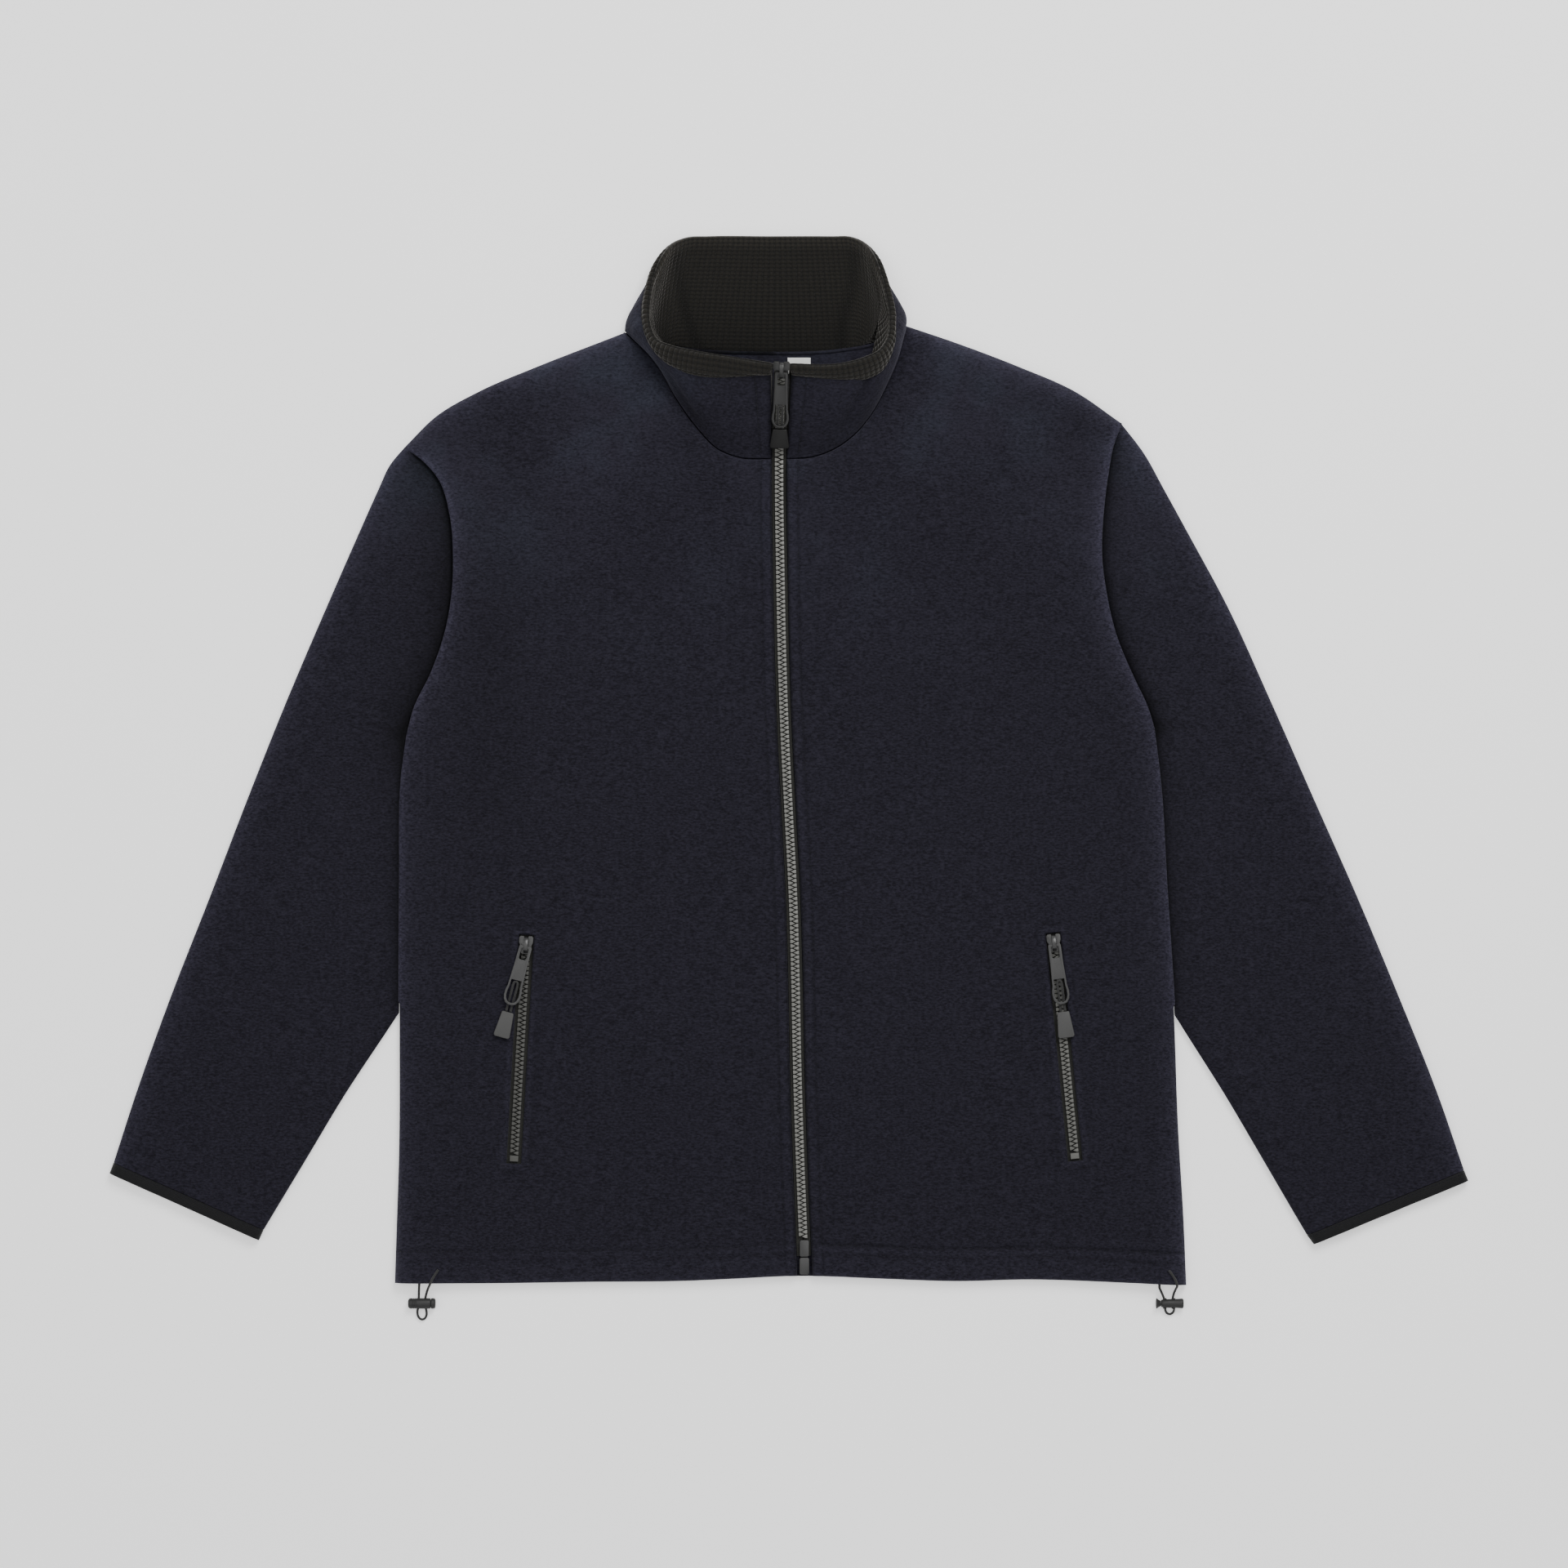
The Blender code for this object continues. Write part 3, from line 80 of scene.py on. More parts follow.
MAIN_END, POCKET_END = 46.3, 50.0  # from a pull's pin to the top of its moulded end

# The laid garment's outline, in rows of x, y: up the body's side, on up the armhole, in along the
# shoulder, down the front neck to the zip, down the sleeve's outer edge, and down its inner edge
# from where it comes out below the body.
OUTLINE = {
    "right": {
        "side": [
            (-294, -391.3), (-292.5, -345), (-291, -299.5), (-290.4, -189.7), (-289.8, -90), (-288.3, -12.8),
            (-284.3, 17.7)],
        "armhole": [
            (-284.3, 17.7), (-279, 37), (-266, 64), (-256.2, 92), (-250.5, 123), (-249.5, 153), (-252, 182),
            (-260.5, 209), (-272, 222.5), (-286.1, 233)],
        "shoulder": [
            (-286.1, 233), (-262.9, 255.6), (-231.2, 273.9), (-188.5, 292.2), (-141.5, 310.5),
            (-122.6, 317.8)],
        "neck": [
            (-122.6, 317.8), (-98.8, 294), (-84.2, 268), (-67.7, 245), (-53.1, 230.5), (-36, 224),
            (-13.15, 223.3)],
        "outer": [
            (-286.1, 233), (-297.7, 219), (-306.2, 201), (-322.7, 164), (-344, 115.3), (-375.2, 42.1),
            (-404.4, -31.1), (-432.5, -104.3), (-461.2, -177.5), (-487.4, -250.7), (-503.7, -301.1)],
        "below": [
            (-290.9, -189.7), (-299, -202), (-331.2, -250.7), (-360.5, -299.5), (-384, -338.5),
            (-391.7, -351.3)],
    },
    "left": {
        "side": [
            (296.5, -392.8), (294.5, -345), (290.4, -275), (287.3, -191.5), (281.5, -100), (276, -12.8),
            (271.5, 23.2)],
        "armhole": [
            (271.5, 23.2), (266, 40), (257.4, 58), (243, 93), (235.5, 126), (232.4, 153), (233.4, 180),
            (237, 211), (241, 233), (247.5, 250.6)],
        "shoulder": [
            (247.5, 250.6), (213.5, 273.9), (172, 292.2), (123.8, 310.5), (87.8, 322.7)],
        "neck": [
            (87.8, 322.7), (80.5, 298), (71.4, 274), (61.5, 256), (48.2, 240.5), (32.9, 230), (16, 224.3),
            (-1.45, 223.3)],
        "outer": [
            (247.5, 250.6), (264.7, 228.1), (280, 200.7), (300.1, 164.1), (326.4, 115.3), (359.9, 42.1),
            (392.2, -31.1), (424.6, -104.3), (455.1, -177.5), (484.3, -250.7), (503.6, -306.7)],
        "below": [
            (287.8, -191.5), (295, -203), (325.1, -250.7), (353.8, -299.5), (378, -341), (386.4, -355.2)],
    },
}
TIP_WALL = 0.2  # a sleeve's wall at its pointed top, as a share of the width there
CUFF_EDGE = {"right": ((-506.9, -309.3), (-395.3, -359.3)), "left": ((506.9, -314.8), (391.6, -362.3))}
BACK_NECK = [(-122.6, 317.8), (-100, 309.5), (-72, 305), (-17, 302.5), (38, 304.5), (66, 310), (87.8, 322.7)]
HEM = [
    (-294, -391.3), (-223, -391.4), (-150, -390.4), (-77, -389.6), (-40, -388), (0, -386.1), (20, -386.1),
    (69.5, -388), (124, -389.8), (179, -388.6), (252.5, -391), (296.5, -392.8)]
ZIP_LINE = [
    (11.9, -386.1), (9.8, -336), (7.9, -287), (6.1, -226), (4.9, -165), (3.1, -104), (0, -43), (-3.1, 18),
    (-5.2, 79), (-6.4, 140), (-7.3, 201), (-7.3, 223.3)]

# Soft ridges on the fronts: x, y of the two ends, half width, height.
RIDGES = [
    (-236, 178, -150, 120, 26, 1.6), (-262, 60, -205, -60, 24, 1.3), (-120, 262, -75, 150, 30, 1.2),
    (220, 190, 140, 120, 26, 1.5), (250, 60, 190, -50, 24, 1.4), (98, 262, 62, 160, 28, 1.2),
    (-235, -190, -232, -330, 22, 1.2), (246, -170, 250, -330, 22, 1.3)]

# The collar's top edge, seen from its right end at the zip round the back to its left end: x, y, z.
RIM = [
    (-13.2, 291, 46), (-45, 293.5, 45.5), (-70.8, 297, 43.5), (-88, 302, 40), (-98, 308.5, 36),
    (-103, 319, 32), (-104.3, 333, 27), (-103.3, 347, 22), (-100.8, 361, 17), (-96, 374, 12),
    (-88.5, 384, 7), (-77, 389, 3.4), (-60, 390, 2.6), (-15, 390, 2.6), (32, 390, 2.6), (46, 389.7, 3.4),
    (56.8, 385.2, 7), (64.4, 375.5, 12), (69.3, 361, 17), (72.8, 345, 22.5), (75.4, 325, 29.5),
    (74, 311, 35), (67, 300, 40), (56, 294, 43.5), (42, 291, 45.5), (2.2, 291, 46)]
NECK_MIDDLE = (-15.0, 330.0)
RIM_AT_NECK = {"right": (-103.3, 347), "left": (72.8, 345)}  # the rim's points above the neck's corners

# The two drawcords: x, y, z along each, from the hem, through its lock, round its loop and back.
DRAWCORDS = {
    "right": [
        (-275.7, -392.6, 6.4), (-275.9, -395.5, 5.6), (-276.1, -399.5, 4.4), (-276.2, -403, 4.0),
        (-276.3, -406.5, 4.0), (-276.8, -410, 3.8), (-277.3, -413, 2.6), (-276.9, -416, 1.6),
        (-275.2, -418.3, 1.2), (-273.5, -418.7, 1.2), (-271.6, -417.6, 1.3), (-270.5, -415, 1.8),
        (-270.6, -412, 3.0), (-271.1, -409.5, 3.9), (-271.5, -406.5, 4.0), (-271.3, -403, 4.1),
        (-270.4, -399, 5.4), (-268.9, -394.8, 8.6), (-267.2, -391.2, 10.4), (-265.2, -387, 10.6),
        (-263, -383.4, 10.5), (-261.1, -380.6, 10.4)],
    "left": [
        (276.3, -394.4, 6.4), (277.2, -396.5, 5.6), (278.8, -400, 4.4), (280, -403.2, 4.0),
        (280.6, -406.5, 4.0), (280.7, -410, 3.7), (281.2, -412.4, 2.5), (282.6, -414.2, 1.5),
        (284.4, -414.8, 1.2), (286.2, -413.9, 1.6), (287.3, -412, 2.9), (287.3, -409.6, 3.9),
        (286.7, -406.5, 4.0), (286.4, -403, 4.1), (287.1, -399, 5.6), (288.3, -395.4, 8.8),
        (289, -392.2, 10.4), (287.6, -388, 10.6), (285.3, -384.2, 10.5), (283, -381, 10.4)],
}
CORD, IN_HEM = 1.8, 4.0  # a drawcord's thickness, and how far inside the hem it starts
HEM_EDGE_Y = {"right": -391.3, "left": -392.4}  # above this the second strand lies on the hem
LOCKS = {"right": {"centre": (-273.9, -406.5), "head": 1, "trumpet": False},
         "left": {"centre": (284.2, -406.5), "head": -1, "trumpet": True}}
LOCK_LONG, LOCK_RADIUS, LOCK_HEAD = 20.5, 3.95, 3.4

# Pocket zips: the top and bottom of each slit, and how far its pull is turned from the zip.
POCKETS = {"right": {"top": (-195.6, -131.5), "bottom": (-205.2, -302.0), "pull_turn": -12.0},
           "left": {"top": (196.8, -130.0), "bottom": (213.6, -300.0), "pull_turn": 2.0}}
POCKET_HALF_OPENING = 5.5
SLIDER_AT = 9.0  # a pocket slider's pin below the slit's top
MAIN_SLIDER_Y = 286.0
RAMP_EASE = 4.0  # how softly the zip turns up into the collar

# The view straight down: its centre, its width where the jacket lies, and the camera's height.
VIEW_CENTRE, VIEW_WIDTH, CAMERA_ABOVE = (-3.66, -18.9), 1171.2, 4000.0
SENSOR = 36
# The studio, in metres: half the floor's width and its level, the light from all round, and the lamps,
# each with its place, width, power and the spot on the floor that it points at.
FLOOR_HALF, FLOOR_LEVEL, SKY = 12.0, -0.0004, 0.35
LAMPS = [("key", (0.7, 1.7, 2.2), 1.3, 66, (0.0, 0.05)), ("fill", (-1.7, 0.1, 2.6), 2.0, 22, (0.0, 0.0)),
         ("top", (0.0, 0.2, 3.4), 2.6, 30, (0.0, 0.0)), ("low", (0.2, -1.9, 2.3), 1.8, 12, (0.0, 0.0))]

# Soft folds of the cloth: x, y of the two ends, half width, height (below nought for a trough).
FRONT_FOLDS = [
    (-250, 150, -262, 60, 12, 0.7), (-238, 130, -180, 60, 16, 0.8), (-226, 40, -246, -60, 14, -0.5),
    (-150, 190, -90, 150, 20, 0.6), (-60, 190, -40, 90, 22, -0.5), (-190, -60, -110, -40, 24, 0.5),
    (-120, -180, -60, -300, 30, 0.6), (-165, -250, -150, -350, 16, -0.4), (-240, -110, -215, -80, 14, -0.9),
    (238, 150, 250, 50, 12, 0.6), (222, 120, 160, 60, 18, 0.8), (214, 30, 236, -60, 14, -0.5),
    (140, 190, 80, 150, 20, 0.6), (50, 190, 36, 80, 22, -0.5), (180, -60, 110, -30, 22, 0.5),
    (110, -180, 60, -300, 28, 0.6), (160, -240, 150, -350, 16, -0.4), (232, -100, 212, -80, 14, -0.6)]
SLEEVE_FOLDS = [
    (-330, 60, -300, -10, 12, 0.9), (-300, 20, -330, -80, 16, -0.7), (-352, -20, -322, -90, 14, 0.9),
    (-400, -90, -360, -130, 14, 0.7), (-380, -170, -340, -160, 12, -0.6), (-430, -160, -392, -230, 16, 0.8),
    (-410, -230, -450, -290, 14, -0.6), (-455, -230, -420, -300, 12, 0.6), (318, 60, 290, -10, 12, 0.9),
    (292, 20, 322, -80, 16, -0.7), (342, -20, 312, -90, 14, 0.9), (392, -90, 350, -130, 14, 0.7),
    (372, -170, 330, -160, 12, -0.6), (424, -160, 384, -230, 16, 0.8), (404, -230, 444, -290, 14, -0.6),
    (450, -230, 412, -300, 12, 0.6)]
COLLAR_CREASES = [
    (-97, 294, -66, 248, 3.2, -1.5), (-90, 297, -60, 252, 5.0, 0.9), (65, 292, 39, 244, 3.2, -1.5),
    (58, 295, 33, 248, 5.0, 0.9)]

# Places in from an edge, close together where the cloth turns.
NEAR_FOLD = (0, 0.35, 0.8, 1.4, 2.2, 3.2, 4.5, 6.2, 8.5, 11.5, 15)
NEAR_CUT = (0, 0.2, 0.5, 0.9, 1.5, 2.4, 4)
NEAR_ZIP = (0, 0.2, 0.5, 0.9, 1.5, 2.5, 4, 5.5, 6.6, 7.3, 8, 8.7, 9.6, 11)
NEAR_HEM = (0, 0.35, 0.8, 1.4, 2.2, 3.4, 5, 7.5, 10.5, 13.5, 16.5, 18.5, 20, 21.3, 22.4, 23.3, 24, 24.7, 25.6,
            26.8, 28.6, 31)

# The lining's roll over the rim: places along the rim from the zip, and how far down it reaches.
ROLLED_OVER = [
    (0, 9), (15, 10.5), (35, 13.5), (58, 14.5), (78, 12), (92, 8), (108, 5), (130, 4.6), (158, 6.5),
    (185, 9), (300, 9), (328, 7), (350, 5), (375, 3.6), (397, 4.6), (410, 9), (422, 14.5), (436, 15),
    (450, 12), (470, 10), (500, 9)]

DIP_REACH = {"right": 8.0, "left": 5.5}  # how far from the armhole each sleeve dips under the body's edge
HEM_GROOVE = {"right": 0.5, "left": 1.0}  # how deep the hem's stitching sinks into each front
HEM_CREASE = 17.2  # from the hem's edge to the crease above the drawcord
ZIP_STITCH, POCKET_STITCH = 8.0, 7.0  # from a zip's fleece edge to its row of stitches
POCKET_TAPE_HALF, PULL_HALF = 8.5, 6.4  # half the width of a pocket's tape, and of a pull with room beside it
MAIN_TOOTH, POCKET_TOOTH = 3.25, 3.2  # from a chain's middle to its teeth's outer ends
GRID_ROW = 0.8  # from one row of the lining's grid to the next, as a share of its pitch across
# The neck label: its reach, the heights of its two faces above the back, and its edge's radius.
LABEL = {"x": (-1.0, 16.2), "y": (287.0, 299.2), "foot": 0.05, "top": 0.95, "edge": 0.45}
# Each pocket's teeth and stop take a copy of the teeth's colour darkened as painted shade, the right one
# darker.
POCKET_FINISH = {"right": "dark_teeth", "left": "mid_teeth"}
# The slots of finishes that are a shade of another one.
# Knits: the colour in the grooves and its share, the colour of the ribs, their pitch in mm, the sheen.
KNITS = {"black_binding": ("binding_dark", 1, "binding", 0.9, 0.15),
         "zip_tape": ("tape", 0.45, "tape", 0.7, 0.1),
         "thread": ("thread", 0.5, "thread", 0.5, 0.1)}
# Hard finishes: colour, its shares in the pits and on the face, roughness, metal, the pits' scale, coat.
HARD = {"zip_teeth": ("teeth", 0.72, 1, 0.36, 0.0, 1400, 0.2),
        # The pockets' teeth: the teeth's colour darkened as painted shade in the slits, the right one more
        # than the left.
        "mid_teeth": ("teeth", 0.5, 0.72, 0.42, 0.0, 1400),
        "dark_teeth": ("teeth", 0.3, 0.42, 0.5, 0.0, 1400),
        "gunmetal": ("metal", 0.7, 1, 0.38, 0.8, 1800),
        "black_plastic": ("plastic", 0.7, 1, 0.42, 0.0, 900),
        "grey_plastic": ("grey_plastic", 0.75, 1, 0.4, 0.0, 900),
        "lock_plastic": ("grey_plastic", 0.36, 0.5, 0.5, 0.0, 900)}
BRAID_PITCH = 1.6  # millimetres along a cord for one turn of its strands
# How dark the painted shadow is on each sleeve beside the armhole, and how far it reaches.
ARMHOLE_PAINTED_SHADOW = {"right": (0.6, 20.0), "left": (0.5, 10.0)}
# Patches of painted light on the cloth, painted shade below nought: x, y of the two ends, half width, share.
PAINTED_LIGHT_PATCHES = [(-224, 190, -222, -70, 24, -0.12), (-150, 250, -140, 140, 40, 0.12)]
# How far the rim's crest leans back over the neck.
CREST_IN = [
    (0, 0), (12, 1.5), (30, 3.2), (58, 4), (78, 3), (96, 0), (110, 0), (250, 0), (385, 0), (400, 0),
    (415, 1), (430, 2), (450, 1), (475, 0), (500, 0)]
# The lines inside the collar where its sides meet the back.
LINING_CREASES = {"right": [(-84, 386), (-82, 360), (-77, 334), (-71, 316), (-68, 306)],
                  "left": [(49, 386), (47, 351), (40, 325), (38.5, 308)]}
# How far the lining leans in at its foot, at places along the rim.
LEANS_IN = [
    (0, 0), (60, 2), (85, 8), (105, 14), (130, 17), (150, 12), (170, 5), (192, 0), (300, 0), (320, 4),
    (345, 12), (366, 17), (390, 17), (405, 13), (420, 6), (440, 2), (500, 0)]


# ---- curves and grids
class Curve:
    """A smooth line through points: cubic pieces whose slope at a point is that of its neighbours."""

    def __init__(self, points, steps=14):
        p = np.array(points, float)
        knots = reaches(p)
        slope = np.gradient(p, knots, axis=0)
        dense = [p[:1]]
        for i in range(len(p) - 1):
            h = knots[i + 1] - knots[i]
            t = np.linspace(0, 1, steps + 1)[1:, None]
            dense.append((2 * t**3 - 3 * t**2 + 1) * p[i] + (t**3 - 2 * t**2 + t) * h * slope[i]
                         + (3 * t**2 - 2 * t**3) * p[i + 1] + (t**3 - t**2) * h * slope[i + 1])
        self.points = np.concatenate(dense)
        self.reach = reaches(self.points)
        self.length = self.reach[-1]

    def at(self, s):
        """The points at distances s along the line."""
        s = np.asarray(s, float)
        return np.stack([np.interp(s, self.reach, c) for c in self.points.T], axis=-1)

    def along(self, s):
        """Unit vectors along the line at distances s."""
        s = np.asarray(s, float)
        return unit(self.at(np.minimum(s + 0.5, self.length)) - self.at(np.maximum(s - 0.5, 0)))

    def nearest(self, xy):
        """How far along the line the point nearest to xy is."""
        fine = np.linspace(0, self.length, 1200)
        return fine[np.linalg.norm(self.at(fine)[:, :2] - np.array(xy), axis=1).argmin()]


def unit(vectors, least=0):
    """The same directions, each one long, and nothing divided by less than the least."""
    return vectors / np.maximum(np.linalg.norm(vectors, axis=-1, keepdims=True), least)


def reaches(line):
    """How far along a line of points each of them is."""
    return np.concatenate([[0], np.cumsum(np.linalg.norm(np.diff(line, axis=0), axis=1))])


def to_lines(points, lines):
    """For each plan point, its distance to the nearest of the lines, and the nearest place on them."""
    flat = points.reshape(-1, 2)
    best, place = np.full(len(flat), np.inf), np.zeros_like(flat)
    for line in lines:
        a, b = line[:-1], line[1:]
        run = b - a
        t = ((flat[:, None] - a) * run).sum(2) / np.maximum((run * run).sum(1), 1e-12)
        on = a + np.clip(t, 0, 1)[..., None] * run
        far = np.linalg.norm(flat[:, None] - on, axis=2)
        pick = far.argmin(1)
        value = far[np.arange(len(flat)), pick]
        closer = value < best
        best[closer] = value[closer]
        place[closer] = on[np.arange(len(flat)), pick][closer]
    return best.reshape(points.shape[:-1]), place.reshape(points.shape)


def between_edges(bottom, top, left, right, u, v):
    """Plan points inside four edges: each pair of facing edges is blended, and the corners taken off."""
    u, v = u[None, :, None], v[:, None, None]
    corners = ((1 - u) * (1 - v) * bottom[0] + u * (1 - v) * bottom[-1]
               + (1 - u) * v * top[0] + u * v * top[-1])
    return (1 - v) * bottom[None] + v * top[None] + (1 - u) * left[:, None] + u * right[:, None] - corners


def shares(*lines):
    """The mean share of the way along at each point of some rows of points."""
    return np.mean([reaches(line) / reaches(line)[-1] for line in lines], axis=0)


def spread(length, near, far, gap):
    """Places along a length: given ones in from each end, and between them even steps of at most gap."""
    near, far = np.array(near, float), np.array(far, float)
    count = max(2, math.ceil((length - near[-1] - far[-1]) / gap))
    between = np.linspace(near[-1], length - far[-1], count + 1)
    return np.concatenate([near[:-1], between, length - far[-2::-1]])


def carried(places, length, other, near, far):
    """The same places on a line of another length: those near the ends keep their distance from them."""
    return np.interp(places, [0, near, length - far, length], [0, near, other - far, other])


def smooth_step(x):
    """0 below 0, 1 above 1, and 3x squared less 2x cubed between."""
    x = np.clip(x, 0, 1)
    return x * x * (3 - 2 * x)


def turned(distance, radius):
    """How far up a rounded edge has come: a quarter circle from 0 at the edge to 1 a radius in."""
    return np.sqrt(1 - np.clip(1 - distance / radius, 0, 1) ** 2)


def lip(distance, radius):
    """How far a cut edge is rounded down: a quarter circle of that radius across the edge."""
    return radius * (1 - turned(distance, radius))


def ridges(points, table):
    """The height that ridges add: each falls off across its line as a bell, and towards its two ends."""
    total = np.zeros(points.shape[:-1])
    for x0, y0, x1, y1, half, high in table:
        start, run = np.array([x0, y0]), np.array([x1 - x0, y1 - y0], float)
        long = np.linalg.norm(run)
        run /= long
        along = (points - start) @ run
        across = (points - start) @ np.array([-run[1], run[0]])
        total += high * bell(across, 0, half) * np.exp(-(((along - long / 2) / (long * 0.5)) ** 4))
    return total


def puff(distance):
    """How much cloth stands up at a distance from an edge: from 0 to 1 at PUFF_AT, then slowly down."""
    x = distance / PUFF_AT
    return x * np.exp(1 - x)


def bell(distance, at, wide):
    """1 at a distance, falling off on both sides of it: exp(-((distance - at) / wide)^2)."""
    return np.exp(-(((distance - at) / wide) ** 2))


def ripple(points, pitch, turn, seed):
    """A long uneven wave: three sines of nearby lengths and directions, from -1 to 1."""
    total = 0
    for k in range(3):
        angle = turn + (k - 1) * 0.5
        step = pitch * (1 + 0.31 * k)
        run = points @ np.array([math.cos(angle), math.sin(angle)])
        total = total + np.sin(2 * math.pi * run / step + seed * (k + 1.7))
    return total / 3


# ---- meshes
def grid_cells(rows, columns, wrap=False):
    """Corner numbers of a grid's cells, and of the same cells with the grid laid open at its seam."""
    r, c = np.meshgrid(np.arange(rows - 1), np.arange(columns if wrap else columns - 1), indexing="ij")

    def numbered(wide, right):
        return np.stack([r * wide + c, r * wide + right, (r + 1) * wide + right, (r + 1) * wide + c], -1)

    cells, opened = numbered(columns, (c + 1) % columns), numbered(columns + 1 if wrap else columns, c + 1)
    return cells.reshape(-1, 4), opened.reshape(-1, 4)


class Shape:
    """Points and faces of one piece, gathered part by part. Each part is closed, and faces outwards."""

    def __init__(self):
        self.points, self.faces, self.corners, self.count = [], [], [], 0

    def add(self, points, faces, corners=None):
        """One closed part: its points, its faces as corner numbers, and their places on the cloth."""
        points = np.asarray(points, float).reshape(-1, 3)
        faces = [np.asarray(f) for f in faces]
        corners = corners or [np.zeros((*f.shape, 2)) for f in faces]
        six_volumes = 0.0
        middle = points.mean(0)
        for f in faces:
            for k in range(1, f.shape[1] - 1):
                a, b, c = (points[f[:, j]] - middle for j in (0, k, k + 1))
                six_volumes += np.einsum("ij,ij->", a, np.cross(b, c))
        step = 1 if six_volumes > 0 else -1
        self.faces += [f[:, ::step] + self.count for f in faces]
        self.corners += [c[:, ::step] for c in corners]
        self.points.append(points)
        self.count += len(points)
        return self

    def wall(self, outer, inner, gone=None, wrap=False):
        """A closed wall between two grids of the same shape, with the gone cells left out as a hole."""
        rows, columns = outer.shape[:2]
        cells, _ = grid_cells(rows, columns, wrap)
        if gone is not None:
            cells = cells[~gone.reshape(-1)]
        count = rows * columns
        edges = np.concatenate([cells[:, [k, (k + 1) % 4]] for k in range(4)])
        one_way, other_way = edges[:, 0] * count + edges[:, 1], edges[:, 1] * count + edges[:, 0]
        rim = edges[~np.isin(one_way, other_way)]
        sides = np.stack([rim[:, 1], rim[:, 0], rim[:, 0] + count, rim[:, 1] + count], -1)
        both = np.concatenate([outer.reshape(-1, 3), inner.reshape(-1, 3)])
        return self.add(both, [np.concatenate([cells, cells[:, ::-1] + count, sides])])

    def sweep(self, sections, around=None, along=None, closed=False):
        """A solid through sections of the same number of points, capped at its ends unless it is closed.

        around and along are the cloth's places, in millimetres, of the section's points and the sections.
        """
        sections = np.asarray(sections, float)
        count, sides = sections.shape[:2]
        rows = count + 1 if closed else count
        cells, opened = grid_cells(rows, sides, True)
        cells %= count * sides
        around = np.arange(sides + 1) if around is None else around
        along = np.arange(rows) if along is None else along
        cloth = np.stack(np.meshgrid(around, along), -1).reshape(-1, 2) * MM
        faces, corners = [cells], [cloth[opened]]
        if not closed:
            last = (count - 1) * sides
            caps = np.array([np.arange(sides)[::-1], last + np.arange(sides)])
            faces.append(caps)
            corners.append(np.zeros((2, sides, 2)))
        return self.add(sections, faces, corners)

    def repeat(self, points, faces, places, axes):
        """Copies of one small closed part, at places, each turned so that its axes lie along given ones."""
        shape = Shape().add(points, faces)
        n = len(points)
        moved = np.einsum("pk,nkj->npj", np.asarray(points, float), axes) + places[:, None]
        for f in shape.faces:
            every = (f[None] + (np.arange(len(places)) * n)[:, None, None]).reshape(-1, f.shape[1])
            self.faces.append(every + self.count)
            self.corners.append(np.zeros((*every.shape, 2)))
        self.points.append(moved.reshape(-1, 3))
        self.count += moved.shape[0] * n
        return self

    def make(self, name, finish, body="jacket", stands_for=(), sharp=None, merge=False, shade=None):
        """The piece itself: its mesh in metres, its finish, the body it rides on, the nodes it stands for.

        The last argument holds painted light and shade for each point: how much lighter the colour is made
        there, darker below nought; a wall's two grids share one.
        """
        mesh = bpy.data.meshes.new(name)
        listed = [face for f in self.faces for face in f.tolist()]
        mesh.from_pydata((np.concatenate(self.points) * MM).tolist(), [], listed)
        layer = mesh.uv_layers.new(name="cloth")
        flat = np.concatenate([c.reshape(-1, 2) for c in self.corners])
        layer.data.foreach_set("uv", flat.reshape(-1))
        # Painted light and shade, kept as a point attribute that the fleece and lining finishes read into
        # their colour.
        if shade is not None:
            lighter = mesh.attributes.new("shade", "FLOAT", "POINT")
            lighter.data.foreach_set("value", np.resize(shade, self.count).astype(np.float32))
        if merge:
            shape = bmesh.new()
            shape.from_mesh(mesh)
            bmesh.ops.remove_doubles(shape, verts=shape.verts, dist=2e-6)
            shape.to_mesh(mesh)
            shape.free()
        mesh.shade_smooth()
        if sharp:
            mesh.set_sharp_from_angle(angle=math.radians(sharp))
        return settle(bpy.data.objects.new(name, mesh), finish, body, stands_for)


def settle(made, finish, body, stands_for):
    """Links a piece, and gives it its finish, its body and the nodes that it stands for."""
    bpy.context.collection.objects.link(made)
    made.data.materials.clear()
    made.data.materials.append(finish_of(finish))
    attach(made, body)
    if stands_for:
        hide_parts(*stands_for)
    return made


def refined(node, finish, body, bevel):
    """A hard part taken from its solid: its triangles are merged, flat faces joined, edges rounded."""
    shape = bmesh.new()
    shape.from_mesh(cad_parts[node].data)
    bmesh.ops.remove_doubles(shape, verts=shape.verts, dist=1e-6)
    bmesh.ops.dissolve_limit(shape, angle_limit=math.radians(1.0), verts=shape.verts, edges=shape.edges)
    mesh = bpy.data.meshes.new(f"fine_{node}")
    shape.to_mesh(mesh)
    shape.free()
    mesh.shade_smooth()
    made = settle(bpy.data.objects.new(f"fine_{node}", mesh), finish, body, (node,))
    rounding = made.modifiers.new("Rounded edges", "BEVEL")
    rounding.width = bevel * MM
    rounding.segments = 3
    rounding.limit_method = "ANGLE"
    rounding.angle_limit = math.radians(28)
    rounding.harden_normals = True
    return made


def tube_sections(path, radius, sides):
    """Round sections along a path, carried along without twisting: centre + r (side cos + up sin)."""
    path = np.asarray(path, float)
    run = unit(np.gradient(path, axis=0))
    side = np.cross(run[0], (0, 0, 1.0) if abs(run[0][2]) < 0.9 else (1.0, 0, 0))
    angle = np.arange(sides) * 2 * math.pi / sides
    sections = []
    radius = np.broadcast_to(radius, len(path))
    for point, along, r in zip(path, run, radius):
        side = side - along * (side @ along)
        side /= np.linalg.norm(side)
        up = np.cross(along, side)
        sections.append(point + r * (np.outer(np.cos(angle), side) + np.outer(np.sin(angle), up)))
    return np.array(sections)


